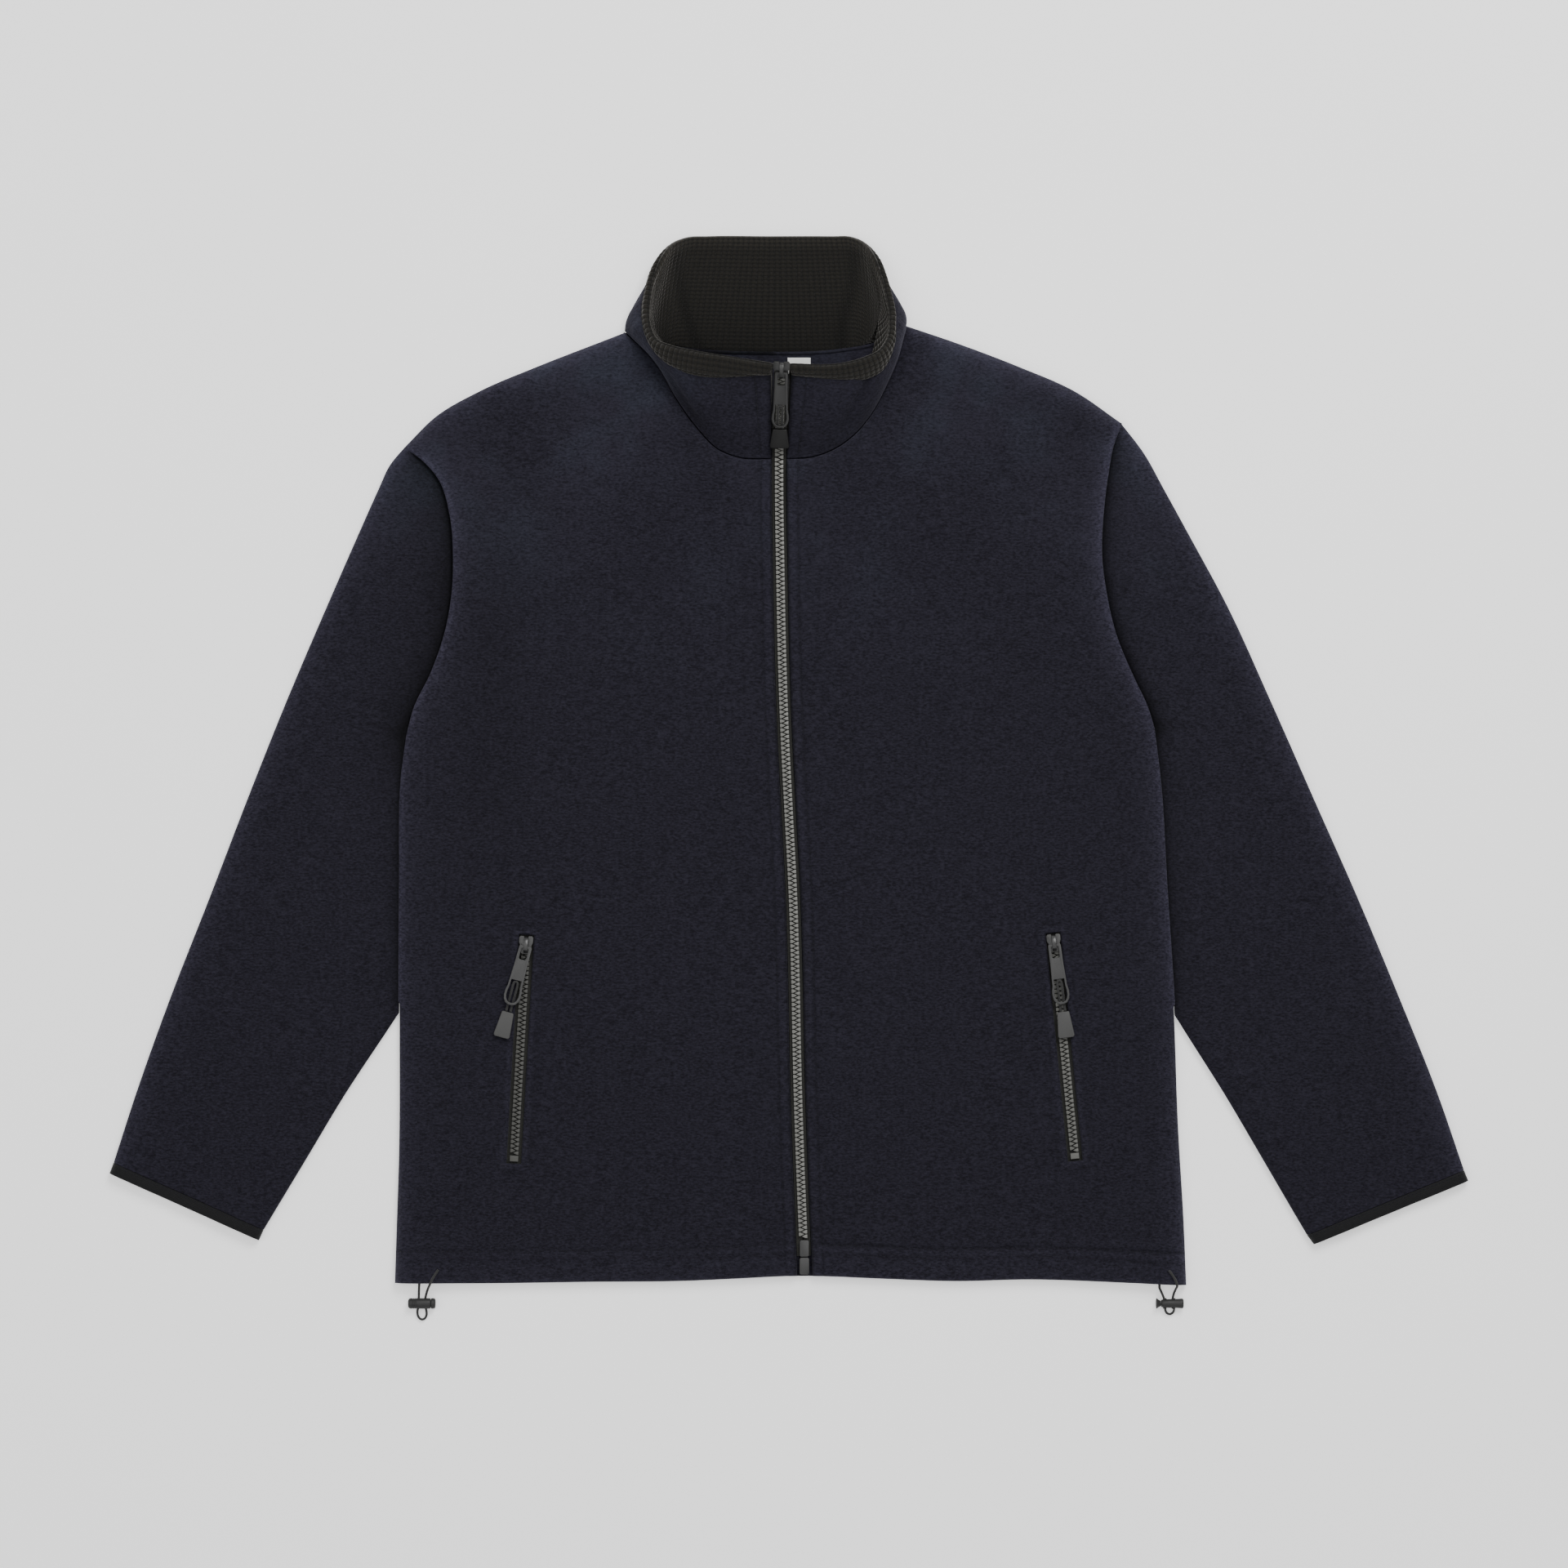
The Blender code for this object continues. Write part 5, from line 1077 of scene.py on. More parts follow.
def sleeve(side):
    """A sleeve: one piece folded at its outer edge, dipping where it comes out from under the body."""
    outer_edge, inner_edge, cut_edge = sleeve_rows(side, 3.1)
    widths = np.linalg.norm(inner_edge - outer_edge, axis=1)
    across = np.array([across_steps(max(w, 0.1)) for w in widths])[..., None]
    plan = outer_edge[:, None] * (1 - across) + inner_edge[:, None] * across
    columns = plan.shape[1]
    cut = np.zeros_like(plan)
    cut[:, -1] = cut_edge
    cuff_run = inner_edge[-1] - outer_edge[-1]
    cut[-1] = cuff_run / np.linalg.norm(cuff_run)
    cut[0] = cut_edge[0]
    edge, arm, fold, under_body = (to_lines(plan, lines)[0] for lines in (
        side.folds, [side.armhole.points], [side.outer.points], [side.beside]))
    tall = sizes().fold_height
    inside = smooth_step((np.minimum(edge, arm) - 3) / 12)
    reach = DIP_REACH[side.name]
    level = (FLAT_TOP + SLEEVE_PUFF * puff(edge)
             - 5.2 * np.exp(-((arm / reach) ** 1.6)) * smooth_step(fold / 14))
    level += tall * inside * (ridges(plan, SLEEVE_FOLDS) + 0.3 * ripple(plan, 80, 1.1, 2.2)
                              + 0.2 * ripple(plan, 33, 0.4, 5.0))
    rounding = SLEEVE_ROUND + 6.0 * smooth_step((fold - under_body) / 10)
    thick = np.minimum(np.minimum(FLEECE, widths * TIP_WALL)[:, None], level * 0.42)
    seam = across[..., 0] ** 3 * SEAM / 2
    top = faces_of(plan, True, level, rounding, seam, cut, thick, side.folds)
    under = faces_of(plan, False, None, UNDER_ROUND, seam, cut, thick, side.folds)
    halves = [np.concatenate([t[:, ::-1], u[:, 1:]], axis=1) for t, u in zip(top, under)]
    for half in halves:
        half[0] = half[0, columns - 1]
    dark, wide = ARMHOLE_PAINTED_SHADOW[side.name]
    # Painted light and shade on the sleeve: a painted highlight along its outer fold, painted shadow beside
    # the armhole and beside the body's side, and the painted light patches.
    shade = np.maximum(1.2 * np.exp(-fold / 6)
                       - dark * np.exp(-((arm / wide) ** 1.3)) * smooth_step(fold / 12)
                       - 0.3 * bell(arm, 0, 5) - 0.45 * np.exp(-under_body / 7) - 0.3 * bell(under_body, 0, 3)
                       + ridges(plan, PAINTED_LIGHT_PATCHES), -0.85)
    shade = np.concatenate([shade[:, ::-1], shade[:, 1:]], axis=1)
    made = Shape().wall(*halves).make(
        f"fleece_sleeve_{side.name}", "navy_fleece", stands_for=(f"sleeve_{side.name}",), merge=True,
        shade=shade)


def cuff(side):
    """The knit binding round a sleeve's end: a flattened ring, rolled over, with a tongue into the sleeve."""
    outer_edge, inner_edge, _ = sleeve_rows(side, 3.1)
    start, end = outer_edge[-1], inner_edge[-1]
    first, last = np.array(CUFF_EDGE[side.name], float)
    across = across_steps(np.linalg.norm(end - start), 22)[:, None]
    down = np.array([-(end - start)[1], (end - start)[0]])
    down /= np.linalg.norm(down) * (1 if down[1] < 0 else -1)
    shares_down = np.array([0, 0.06, 0.15, 0.27, 0.42, 0.58, 0.73, 0.85, 0.93, 0.98, 1.0])
    swell = np.array([-0.2, 0.35, 0.75, 0.95, 1.0, 1.0, 0.95, 0.75, 0.4, 0.0, -0.7])
    rings = []
    for share, high in zip(shares_down, swell):
        a = start * (1 - share) + first * share + down * 0.45 * (1 - share)
        b = end * (1 - share) + last * share + down * 0.45 * (1 - share)
        plan = a * (1 - across) + b * across
        edge = np.minimum(across[:, 0], 1 - across[:, 0]) * np.linalg.norm(b - a)
        wave = 0.22 * np.sin(edge / 5 + share * 2)
        top = MID + (FLAT_TOP + SLEEVE_PUFF * puff(edge) + high + wave - MID) * turned(edge, SLEEVE_ROUND)
        low = MID - (MID - max(0.0, -high)) * turned(edge, UNDER_ROUND)
        rings.append(np.concatenate([np.column_stack([plan, top]), np.column_stack([plan, low])[-2:0:-1]]))
    inside = []
    for ring in (rings[-1], rings[0]):
        centre = (ring[0] + ring[len(across) - 1]) / 2
        run = (ring[len(across) - 1] - ring[0])[:2]
        half = np.linalg.norm(run) / 2
        run /= half * 2
        along = (ring[:, :2] - centre[:2]) @ run
        z = MID + np.clip(ring[:, 2] - MID, -1.5, 1.1) * np.where(np.abs(along) > half - 0.5, 0, 1)
        inside.append(np.column_stack([centre[:2] + (along * (half - 3.0) / half)[:, None] * run, z]))
    into_sleeve = np.array([*down, 0]) * -CUFF_TONGUE
    thicker = inside[1] * (1, 1, 1.35) - (0, 0, MID * 0.35)
    sections = np.array(rings + inside + [inside[1] + into_sleeve, thicker + into_sleeve, thicker])
    round_cuff = reaches(np.concatenate([rings[4], rings[4][:1]]))
    along = np.concatenate([shares_down * BINDING, BINDING + np.array([3, 10, 13.5, 14, 17.5, 18])])
    made = Shape().sweep(sections, round_cuff, along, closed=True).make(
        f"cuff_knit_{side.name}", "black_binding", stands_for=(f"cuff_binding_{side.name}",))
    row = rings[2][3:len(across) - 3] + (0, 0, 0.12)
    stitch_row(Shape(), row, (0, 0, 1), sizes().stitch_pitch / MM, 0.9).make(
        f"cuff_stitches_{side.name}", "thread")


# ---- collar
def coarse_neck(side):
    """The solid's own places along a front neck, which fix how the collar's rim is shared out."""
    return np.concatenate([[0, 1.5, 5.5], 5.5 + (side.neck.length - 8) * np.linspace(0.1, 0.86, 7),
                           side.neck.length - np.array([2.5, 0])])


def coarse_back_neck():
    long = BACK_NECK_LINE.length
    share = np.array([0.06, 0.1, 0.15, 0.21, 0.29, 0.4])
    ends = np.array([5.5, 1.5, 0])
    return np.concatenate([ends[::-1], long * share, long * (1 - share[::-1]), long - ends])


def collar_base(necks, back_steps):
    """The collar's lower edge on its outer face, from the zip round the neck, and the places along it."""
    parts = []
    for side in SIDES.values():
        steps = necks[side.name][::-1]
        run = side.neck.along(steps)
        out = np.column_stack([run[:, 1], -run[:, 0]]) * -side.sign
        out = np.where(out[:, 1:] < 0, -out, out)
        plan = (side.neck.at(steps) + out * 0.45)[:-1]
        parts.append(plan if side.name == "right" else plan[::-1])
    run = BACK_NECK_LINE.along(back_steps)
    back_plan = BACK_NECK_LINE.at(back_steps) + np.column_stack([-run[:, 1], run[:, 0]]) * 0.45
    heights = []
    for part in parts:
        d = to_lines(part, FOLDS)[0]
        heights.append(MID + (FLAT_TOP - MID) * turned(d, BODY_ROUND))
    under = MID - MID * turned(to_lines(back_plan, FOLDS)[0], UNDER_ROUND)
    under[[0, -1]] = MID
    base = np.concatenate([np.column_stack([parts[0], heights[0]]), np.column_stack([back_plan, under]),
                           np.column_stack([parts[1], heights[1]])])
    right_long, back_long = SIDES["right"].neck.length, BACK_NECK_LINE.length
    key = np.concatenate([right_long - necks["right"][::-1][:-1], right_long + back_steps,
                          right_long + back_long + necks["left"][::-1][:-1][::-1]])
    return base, key


class Collar:
    """The collar's outer face over two parameters: a column round the neck, and the share of the way up."""

    def __init__(self, gap):
        coarse = {s.name: coarse_neck(s) for s in SIDES.values()}
        base, key = collar_base(coarse, coarse_back_neck())
        rim = Curve(RIM)
        turn = [rim.nearest(spot) for spot in RIM_AT_NECK.values()]
        corner = [len(coarse["right"]) - 1, len(base) - len(coarse["left"])]
        reach = reaches(base)
        even = np.concatenate([np.linspace(0, turn[0], corner[0] + 1)[:-1],
                               np.linspace(turn[0], turn[1], corner[1] - corner[0] + 1),
                               np.linspace(turn[1], rim.length, len(base) - corner[1])[1:]])
        own = np.interp(reach, [0, reach[corner[0]], reach[corner[1]], reach[-1]], [0, *turn, rim.length])
        shared = Curve(np.column_stack([key, 0.45 * even + 0.55 * own])).points
        ends = (0, 0.4, 1.0, 2.0, 3.5)
        necks = {s.name: spread(s.neck.length, ends, NEAR_ZIP, gap) for s in SIDES.values()}
        self.base, self.key = collar_base(necks, spread(BACK_NECK_LINE.length, ends, ends, gap))
        self.places = np.interp(self.key, shared[:, 0], shared[:, 1])
        self.top = rim.at(self.places)
        self.long = np.linalg.norm(self.top - self.base, axis=1)
        self.heights = np.linspace(0, 1, 61)
        self.rows = self.surface(self.heights)
        normal = unit(np.cross(np.gradient(self.rows, axis=1), np.gradient(self.rows, axis=0)), 1e-9)
        blur = np.exp(-(((self.key[:, None] - self.key[None]) / 4.0) ** 2)) * np.gradient(self.key)[None]
        normal = unit(np.einsum("cd,rdk->rck", blur / blur.sum(1, keepdims=True), normal), 1e-9)
        self.normal = normal * (1 if normal[30, 4, 2] > 0 else -1)
        self.from_zip = np.minimum(self.key, self.key[-1] - self.key)

    def surface(self, shares_up):
        """Straight up from the base to the rim, bellied out 6 mm at the sides, 2.5 mm at the front."""
        v = np.asarray(shares_up)[:, None, None]
        rows = self.base[None] * (1 - v) + self.top[None] * v
        out = unit(self.top[:, :2] - NECK_MIDDLE)
        side_on = np.clip(1 - np.abs(out[:, 1]) * 1.1, 0, 1)
        rows[..., :2] += (4 * v[..., 0] * (1 - v[..., 0]) * 6.0 * side_on)[..., None] * out[None]
        beside = np.clip((np.abs(self.top[:, 0] + 5.5) - 12) / 20, 0, 1) * (out[:, 1] < 0)
        rows[..., 2] += 4 * v[..., 0] * (1 - v[..., 0]) * 2.5 * beside
        return rows

    def at(self, share, out):
        """Points at shares of the way up (rows, columns) and distances out from the face."""
        spot = np.clip(share, 0, 1) * (len(self.heights) - 1)
        low = np.minimum(spot.astype(int), len(self.heights) - 2)
        part = (spot - low)[..., None]
        column = np.broadcast_to(np.arange(len(self.key)), low.shape)
        face = self.rows[low, column] * (1 - part) + self.rows[low + 1, column] * part
        lean = self.normal[low, column] * (1 - part) + self.normal[low + 1, column] * part
        beyond = (np.maximum(share - 1, 0) * self.long)[..., None]
        return face + lean * np.asarray(out)[..., None] + unit(self.rows[-1] - self.rows[-2]) * beyond


def collar_shell():
    """The fleece collar: a wall on the collar's face, rounded at the neck seam and beside the zip."""
    c = Collar(2.4)
    down = np.array([3.2, 4, 5.5, 7.5, 10])
    up = np.concatenate([[0, 0.3, 0.8, 1.5, 2.5, 4, 6], np.linspace(9, 68, 26)])
    longest = c.long[None]
    places = up[:, None] * np.minimum(1, (longest - 12) / 68)
    share = np.concatenate([places / longest, 1 - down[::-1, None] / longest])
    from_base = share * longest
    from_zip = c.from_zip[None]
    face = c.at(share, np.zeros_like(share))
    crease = ridges(face[..., :2], COLLAR_CREASES) * smooth_step((face[..., 2] - 9) / 4)
    stitch = 0.5 * bell(from_zip, ZIP_STITCH, 0.8) * smooth_step(from_base / 4)
    wave = 0.3 * np.sin(c.key / 9 + 2 * np.sin(c.key / 31))[None] * np.sin(from_base / 11)
    out = crease + wave - stitch - lip(from_base, 1.2) - lip(from_zip, 1.6)
    outer = c.at(share, out)
    inner = c.at(share, -COLLAR_FLEECE * np.clip(0.35 + from_base / 12, 0, 1))
    up = from_base / longest
    # Painted light and shade on the collar: lighter at the neck seam and halfway up, a painted shadow at the
    # top under the lining's roll, painted shade along the zip's stitching, at the zip edge and in the
    # creases' troughs.
    shade = (0.3 * bell(from_base, 0, 2.0) - 0.25 * bell(from_zip, ZIP_STITCH, 1.0)
             - 0.5 * bell(from_zip, 0, 1.0) + 0.15 * bell(up, 0.5, 0.3) - 0.45 * bell(up, 1.0, 0.14)
             + 0.2 * np.minimum(crease, 0))
    made = Shape().wall(outer, inner).make(
        "fleece_collar", "navy_fleece", stands_for=("collar_shell",), shade=shade)
    rows = Shape()
    for column in (np.abs(c.key - ZIP_STITCH).argmin(), np.abs(c.key[-1] - c.key - ZIP_STITCH).argmin()):
        rise = np.linspace(0.06, 0.86, 30)[:, None] * np.ones(len(c.key))
        line = c.at(rise, np.full_like(rise, -0.25))[:, column]
        stitch_row(rows, line, c.normal[30, column], sizes().stitch_pitch / MM, 0.9)
    rows.make("collar_stitches", "thread")


def read_off(places, table):
    """Values at some places of a smooth line through a table of places and values, and not below nought."""
    line = Curve(table).points
    return np.maximum(np.interp(places, line[:, 0], line[:, 1]), 0)


def collar_lining():
    """The grid lining: up the inside of the collar and rolled over its rim as a soft binding, with its
    squares raised on both, and back between the layers. It rolls further over where the collar slumps,
    and its sides lean in towards the neck as they go down."""
    c = Collar(1.02)
    near = np.min([np.linalg.norm(c.base[:, :2] - s.neck.points[0], axis=1) for s in SIDES.values()], axis=0)
    foot = (1 - (0.012 + 0.2 * bell(near, 0, 16))) * c.long
    over = read_off(c.places, ROLLED_OVER)
    lean_in = read_off(c.places, LEANS_IN)
    behind = -COLLAR_FLEECE - LINING_GAP
    face = behind - LINING
    inside = np.linspace(1, 0, 138)
    roll = [(2.9, face), (2.0, face + 0.15), (1.2, face + 0.5), (0.55, face + 1.2), (0.15, -2.5), (0, -1.5),
            (0.15, -0.6), (0.55, 0.45), (1.2, 1.25), (2.1, 1.85), (3.1, 2.2), (4.2, 2.38), (5.3, 2.4),
            (6.3, 2.25), (7.2, 1.95), (7.9, 1.6), (8.4, 1.2), (8.8, 0.8), (9.0, 0.45), (6, 0.4), (3.0, 0.4),
            (2.9, behind)]
    rolled = np.array(roll)[:, :1] * np.ones(len(c.key))
    wide = (np.arange(len(roll)) > 8)[:, None] & (np.arange(len(roll)) < len(roll) - 3)[:, None]
    rolled = np.where(wide, 1.2 + (rolled - 1.2) * (over - 1.2) / 7.8, np.minimum(rolled, over - 0.25))
    down = np.concatenate([3.6 + (foot[None] - 3.6) * inside[:, None], rolled,
                           3.6 + (foot[None] - 3.6) * np.linspace(0.2, 1, 5)[:, None]])
    out = np.concatenate([face + lip(foot[None] - down[:len(inside)], 1.3),
                          np.array(roll)[:, 1:] * np.ones(len(c.key)), np.full((5, len(c.key)), behind)])
    outside = (np.arange(len(down)) > len(inside) + 5)[:, None]
    towards = np.where(outside, -1, 1)
    run = towards * down
    pitch = sizes().grid_pitch / MM
    seen = np.arange(len(down))[:, None] < len(inside) + 18
    square = np.sqrt(np.abs(np.sin(math.pi * c.places[None] / pitch)
                            * np.sin(math.pi * run / (GRID_ROW * pitch))))
    inward = towards * 0.62 * (1 - square) * seen
    slump = 0.35 * np.sin(c.places / 13 + 2 * np.sin(c.places / 37))[None] * np.sin(run / 17) * ~outside
    edge = lip(c.from_zip, 1.6)[None] * towards
    points = c.at(1 - down / c.long, out + inward + slump + edge)
    depth = np.clip((down - 2) / (foot - 2), 0, 1)
    shift = lean_in * depth**0.75 * ~outside
    points[..., 0] -= np.tanh((points[..., 0] - NECK_MIDDLE[0]) / 12) * shift
    crest = np.where(outside, smooth_step((over - down) / over), bell(down, 0, 9))
    points[..., 1] += read_off(c.places, CREST_IN) * crest
    at_zip = bell(c.from_zip, 0, 3.0) * np.sign(c.key - c.key[-1] / 2)
    points[..., 0] -= np.where(at_zip > 0, 3.0, 1.7) * at_zip * smooth_step((8 - down) / 8)
    cells, opened = grid_cells(len(c.key), len(down), True)
    cloth = np.stack([np.broadcast_to(c.places[:, None], (len(c.key), len(down) + 1)),
                      np.concatenate([run, run[:1] - 4]).T], -1).reshape(-1, 2) * MM
    across = np.arange(len(down))
    caps = np.array([across[::-1], (len(c.key) - 1) * len(down) + across])
    shape = Shape().add(points.transpose(1, 0, 2), [cells, caps],
                        [cloth[opened], np.zeros((2, len(down), 2))])
    beyond = [(points[..., 0] - np.interp(points[..., 1], *np.array(line)[::-1].T[::-1])) * SIDES[name].sign
              for name, line in LINING_CREASES.items()]
    past = np.maximum(*beyond)
    # Painted light and shade on the lining: a painted highlight on the rim with a painted shade line below
    # it, the side walls lighter past the creases, painted shade along the creases and deepening towards the
    # foot, and a little lighter on the part between the layers.
    shade = (np.where(outside, 0.2, 0.9 * bell(down, 0, 9) - 0.2 * bell(down, 12, 3))
             + 0.25 * smooth_step((past - 3) / 5) * ~outside
             - 0.5 * bell(past, 0, 4.5) * smooth_step((down - 6) / 8) * ~outside
             - 0.4 * depth**3 * ~outside)
    made = shape.make("grid_lining", "black_grid_fleece", stands_for=("collar_lining",), shade=shade.T)
    back_part = (c.key > SIDES["right"].neck.length - 6) & (c.key < c.key[-1] - SIDES["left"].neck.length + 6)
    line = c.base[back_part][::3] * (1, 1, 0) + (0, -0.35, 3.1)
    seam = Shape().sweep(tube_sections(line, 1.25, 10), np.linspace(0, 8, 11), np.arange(len(line)) * 2.8)
    # Painted shade on the roll: a little darker all along, and far darker where x is below -12 mm, standing
    # for the dark lining's foot and the shade under the front rim there.
    seam.make("neck_seam", "navy_fleece", shade=np.repeat(np.where(line[:, 0] < -12, -0.75, -0.1), 10))


def label():
    """The plain neck label: a folded ribbon with soft edges and a slight wave."""
    (x0, x1), (y0, y1) = LABEL["x"], LABEL["y"]
    base = FLEECE + SEAM
    u, v = np.meshgrid(np.linspace(0, 1, 30), np.linspace(0, 1, 24))
    edge = np.minimum(np.minimum(u, 1 - u) * (x1 - x0), np.minimum(v, 1 - v) * (y1 - y0))
    plan = np.stack([x0 + (x1 - x0) * u, y0 + (y1 - y0) * v], -1)
    wave = 0.12 * np.sin(u * 7 + v * 3)
    outer = np.concatenate([plan, (base + LABEL["top"] + wave - lip(edge, LABEL["edge"]))[..., None]], -1)
    inner = np.concatenate([plan, np.full((*u.shape, 1), base + LABEL["foot"])], -1)
    made = Shape().wall(outer, inner).make("ribbon_label", "white_label", stands_for=("neck_label",))


# ---- zips
def zip_line(y):
    """The main zip's middle on the fleece's face: flat along the fronts, then up the collar's front."""
    middle = Curve(ZIP_LINE + [(-5.5, 291)]).points
    up = np.maximum(0, y - ZIP_LINE[-1][1])
    slope = (RIM[0][2] - FLAT_TOP) / (RIM[0][1] - ZIP_LINE[-1][1])
    z = FLAT_TOP + slope * up * (1 - np.exp(-up / RAMP_EASE))
    return np.column_stack([np.interp(y, middle[:, 1], middle[:, 0]), y, z])


def level_axes(run):
    """The directions across a strip, level with the surface, and up from it, from those along it."""
    side = unit(np.column_stack([run[:, 1], -run[:, 0], np.zeros(len(run))]))
    return side, np.cross(side, run)


def tape(name, line, low_side, high_side, low, high, stands_for):
    """A woven tape: a flat strip with rounded edges, between two places across its line and two depths."""
    side, up = level_axes(unit(np.gradient(line, axis=0)))
    r = (high - low) / 2
    across = [low_side + r * 0.5, high_side - r * 0.5, high_side, high_side - r * 0.5, low_side + r * 0.5,
              low_side]
    depth = [low, low, (low + high) / 2, high, high, (low + high) / 2]
    sections = np.stack([line + side * a + up * d for a, d in zip(across, depth)], axis=1)
    reach, wide = reaches(line), high_side - low_side
    around = np.array([0, wide, wide + r, wide + 2 * r, 2 * wide + 2 * r, 2 * wide + 3 * r, 2 * wide + 4 * r])
    made = Shape().sweep(sections, around, reach).make(name, "zip_tape", stands_for=(stands_for,), sharp=50)


def tooth(width, long, tall):
    """One moulded tooth: a wedge from the chain's edge to past its middle, flat on top with a soft rim."""
    half = [(-0.26, 0.03), (-0.2, 0.06), (0.5, 0.38), (0.66, 0.42), (0.94, 0.42), (1.0, 0.36)]
    outline = np.array([(x * width, y * long) for x, y in half]
                       + [(x * width, -y * long) for x, y in half[::-1]])
    middle = outline.mean(0)
    rings = [(outline, 0.0), (outline, tall * 0.78), (middle + (outline - middle) * 0.93, tall * 0.94),
             (middle + (outline - middle) * 0.78, tall)]
    points = np.concatenate([np.column_stack([p, np.full(len(p), z)]) for p, z in rings])
    cells, _ = grid_cells(4, len(outline), True)
    n = len(outline)
    return points, [cells, np.array([np.arange(n)[::-1], 3 * n + np.arange(n)])]


def chain(name, line, width, pitch, low, tall, stands_for, finish):
    """Two rows of teeth that mesh: the left row's fall half a pitch after the right row's."""
    path = Curve(line, steps=3)
    shape = Shape()
    for sign in (-1, 1):
        places = np.arange(pitch * (0.5 if sign > 0 else 1.0), path.length - pitch * 0.3, pitch)
        run = path.along(places)
        side, up = level_axes(run)
        axes = np.stack([side * sign, run * sign, up], axis=1)
        shape.repeat(*tooth(width, pitch, tall), path.at(places) + up * low, axes)
    shape.make(name, finish, stands_for=(stands_for,), sharp=32)


def pull_cord(name, place, end_top):
    """The doubled cord in a pull's loop: out of the moulded end, round the loop's bar and back."""
    start, straight = end_top - 0.3, 44.6
    half = [(-1.6, start, -2.05), (-1.6, straight, -2.08), (-1.6, 42.4, -2.05), (-1.65, 39.5, -1.5),
            (-1.7, 36, -0.4), (-1.7, 32.5, 0.0), (-1.65, 29.2, 0.0), (-1.2, 27.3, 0.0), (0, 26.6, 0.0)]
    if start - straight > 1.5:
        half.insert(1, (-1.6, (start + straight) / 2, -2.05))
    line = Curve(half + [(-x, y, z) for x, y, z in half[-2::-1]])
    places = np.linspace(0, line.length, 90)
    shape = Shape().sweep(tube_sections(place(line.at(places)), 0.85, 12), np.linspace(0, 1, 13), places)
    shape.make(f"fine_{name}_cord", "black_cord", body=name, stands_for=(f"{name}_cord",))


def pull_pieces(name, place, end_top):
    refined(f"{name}_tab", "gunmetal", name, 0.3)
    pull_cord(name, place, end_top)
    refined(f"{name}_end", "black_plastic" if name == "main_pull" else "grey_plastic", name, 0.55)


def main_zip():
    """The main zip: tapes, interlocked teeth, pin, box and slider."""
    line = zip_line(np.concatenate([np.linspace(-371, 196, 120), np.linspace(198, 290, 60)]))
    for side in SIDES.values():
        near, far = SEAM / 2, ZIP_HALF_OPENING - 0.45
        low, high = (near, far) if side.sign > 0 else (-far, -near)
        tape(f"woven_tape_{side.name}", line, low, high, -TAPE_BELOW - TAPE, -TAPE_BELOW,
             f"zip_tape_{side.name}")
    line = zip_line(np.concatenate([np.linspace(-358, 196, 140), np.linspace(198, 287, 60)]))
    chain("moulded_teeth", line, MAIN_TOOTH, sizes().tooth_pitch / MM, -CHAIN_BELOW - CHAIN_HEIGHT,
          CHAIN_HEIGHT, "zip_teeth", "zip_teeth")
    for node, rounding in (("zip_pin", 0.4), ("zip_box", 0.5), ("main_slider", 0.32)):
        refined(node, "gunmetal", "jacket", rounding)


def coarse_level(points, side):
    """The solids' own height of a front's face, which the pockets' pulls and the drawcords are set by."""
    edge, seam, hem = (to_lines(points, lines)[0] for lines in (side.folds, side.seams, [HEM_LINE.points]))
    casing = 1.4 * np.clip(hem / 2.2, 0, 1) ** 0.5 * (hem < HEM_DEPTH - 1)
    return (FLAT_TOP + BODY_PUFF * puff(np.minimum(edge, seam))
            + ridges(points, RIDGES) * np.clip(seam / 12, 0, 1) + casing)


def face_height(places, along, side):
    """The highest point of a front's face within a pull's width of some places."""
    across = np.array([-along[1], along[0]]) * PULL_HALF
    return np.max([coarse_level(places + across * k, side) for k in (-1.0, 0.0, 1.0)], axis=0)


def pocket_frame(side):
    """The pin of a pocket's pull, the zip's direction and the pull's direction, as in the solids."""
    down = -side.slit_up
    pin = side.slit_top + down * SLIDER_AT
    height = float(face_height(pin + down * np.array([[-8.0], [0.0], [5.0]]), down, side).max())
    turn = math.radians(POCKETS[side.name]["pull_turn"])
    pull_down = np.array([down[0] * math.cos(turn) - down[1] * math.sin(turn),
                          down[0] * math.sin(turn) + down[1] * math.cos(turn)])
    reach = np.array([15.0, 30.0, 42.0, 51.0, 60.0, 69.0])
    slope = np.max((face_height(pin + pull_down * reach[:, None], pull_down, side) - height) / reach)
    return np.array([*pin, height + PIN_ABOVE]), np.array([*pull_down, slope])


def pocket_zip(side):
    """A pocket's zip behind the slit: tape, small teeth, stop and slider."""
    name = side.name
    pin, _ = pocket_frame(side)
    top, bottom, down = (np.array([*p, 0.0]) for p in (side.slit_top, side.slit_foot, -side.slit_up))
    face, base = pin[2] - PIN_ABOVE, MID - 0.6
    line = np.linspace(top - down * 5, bottom + down * 5, 60)
    tape(f"pocket_woven_tape_{name}", line, -POCKET_TAPE_HALF, POCKET_TAPE_HALF, base - TAPE, base,
         f"pocket_tape_{name}")
    line = np.linspace(bottom - down * 6.3, top + down * 2, 60)
    chain(f"pocket_moulded_teeth_{name}", line, POCKET_TOOTH, sizes().tooth_pitch / MM, base + SEAM,
          face - CHAIN_BELOW - base - SEAM, f"pocket_teeth_{name}", POCKET_FINISH[name])
    refined(f"pocket_stop_{name}", POCKET_FINISH[name], "jacket", 0.35)
    refined(f"pocket_slider_{name}", "gunmetal", "jacket", 0.3)


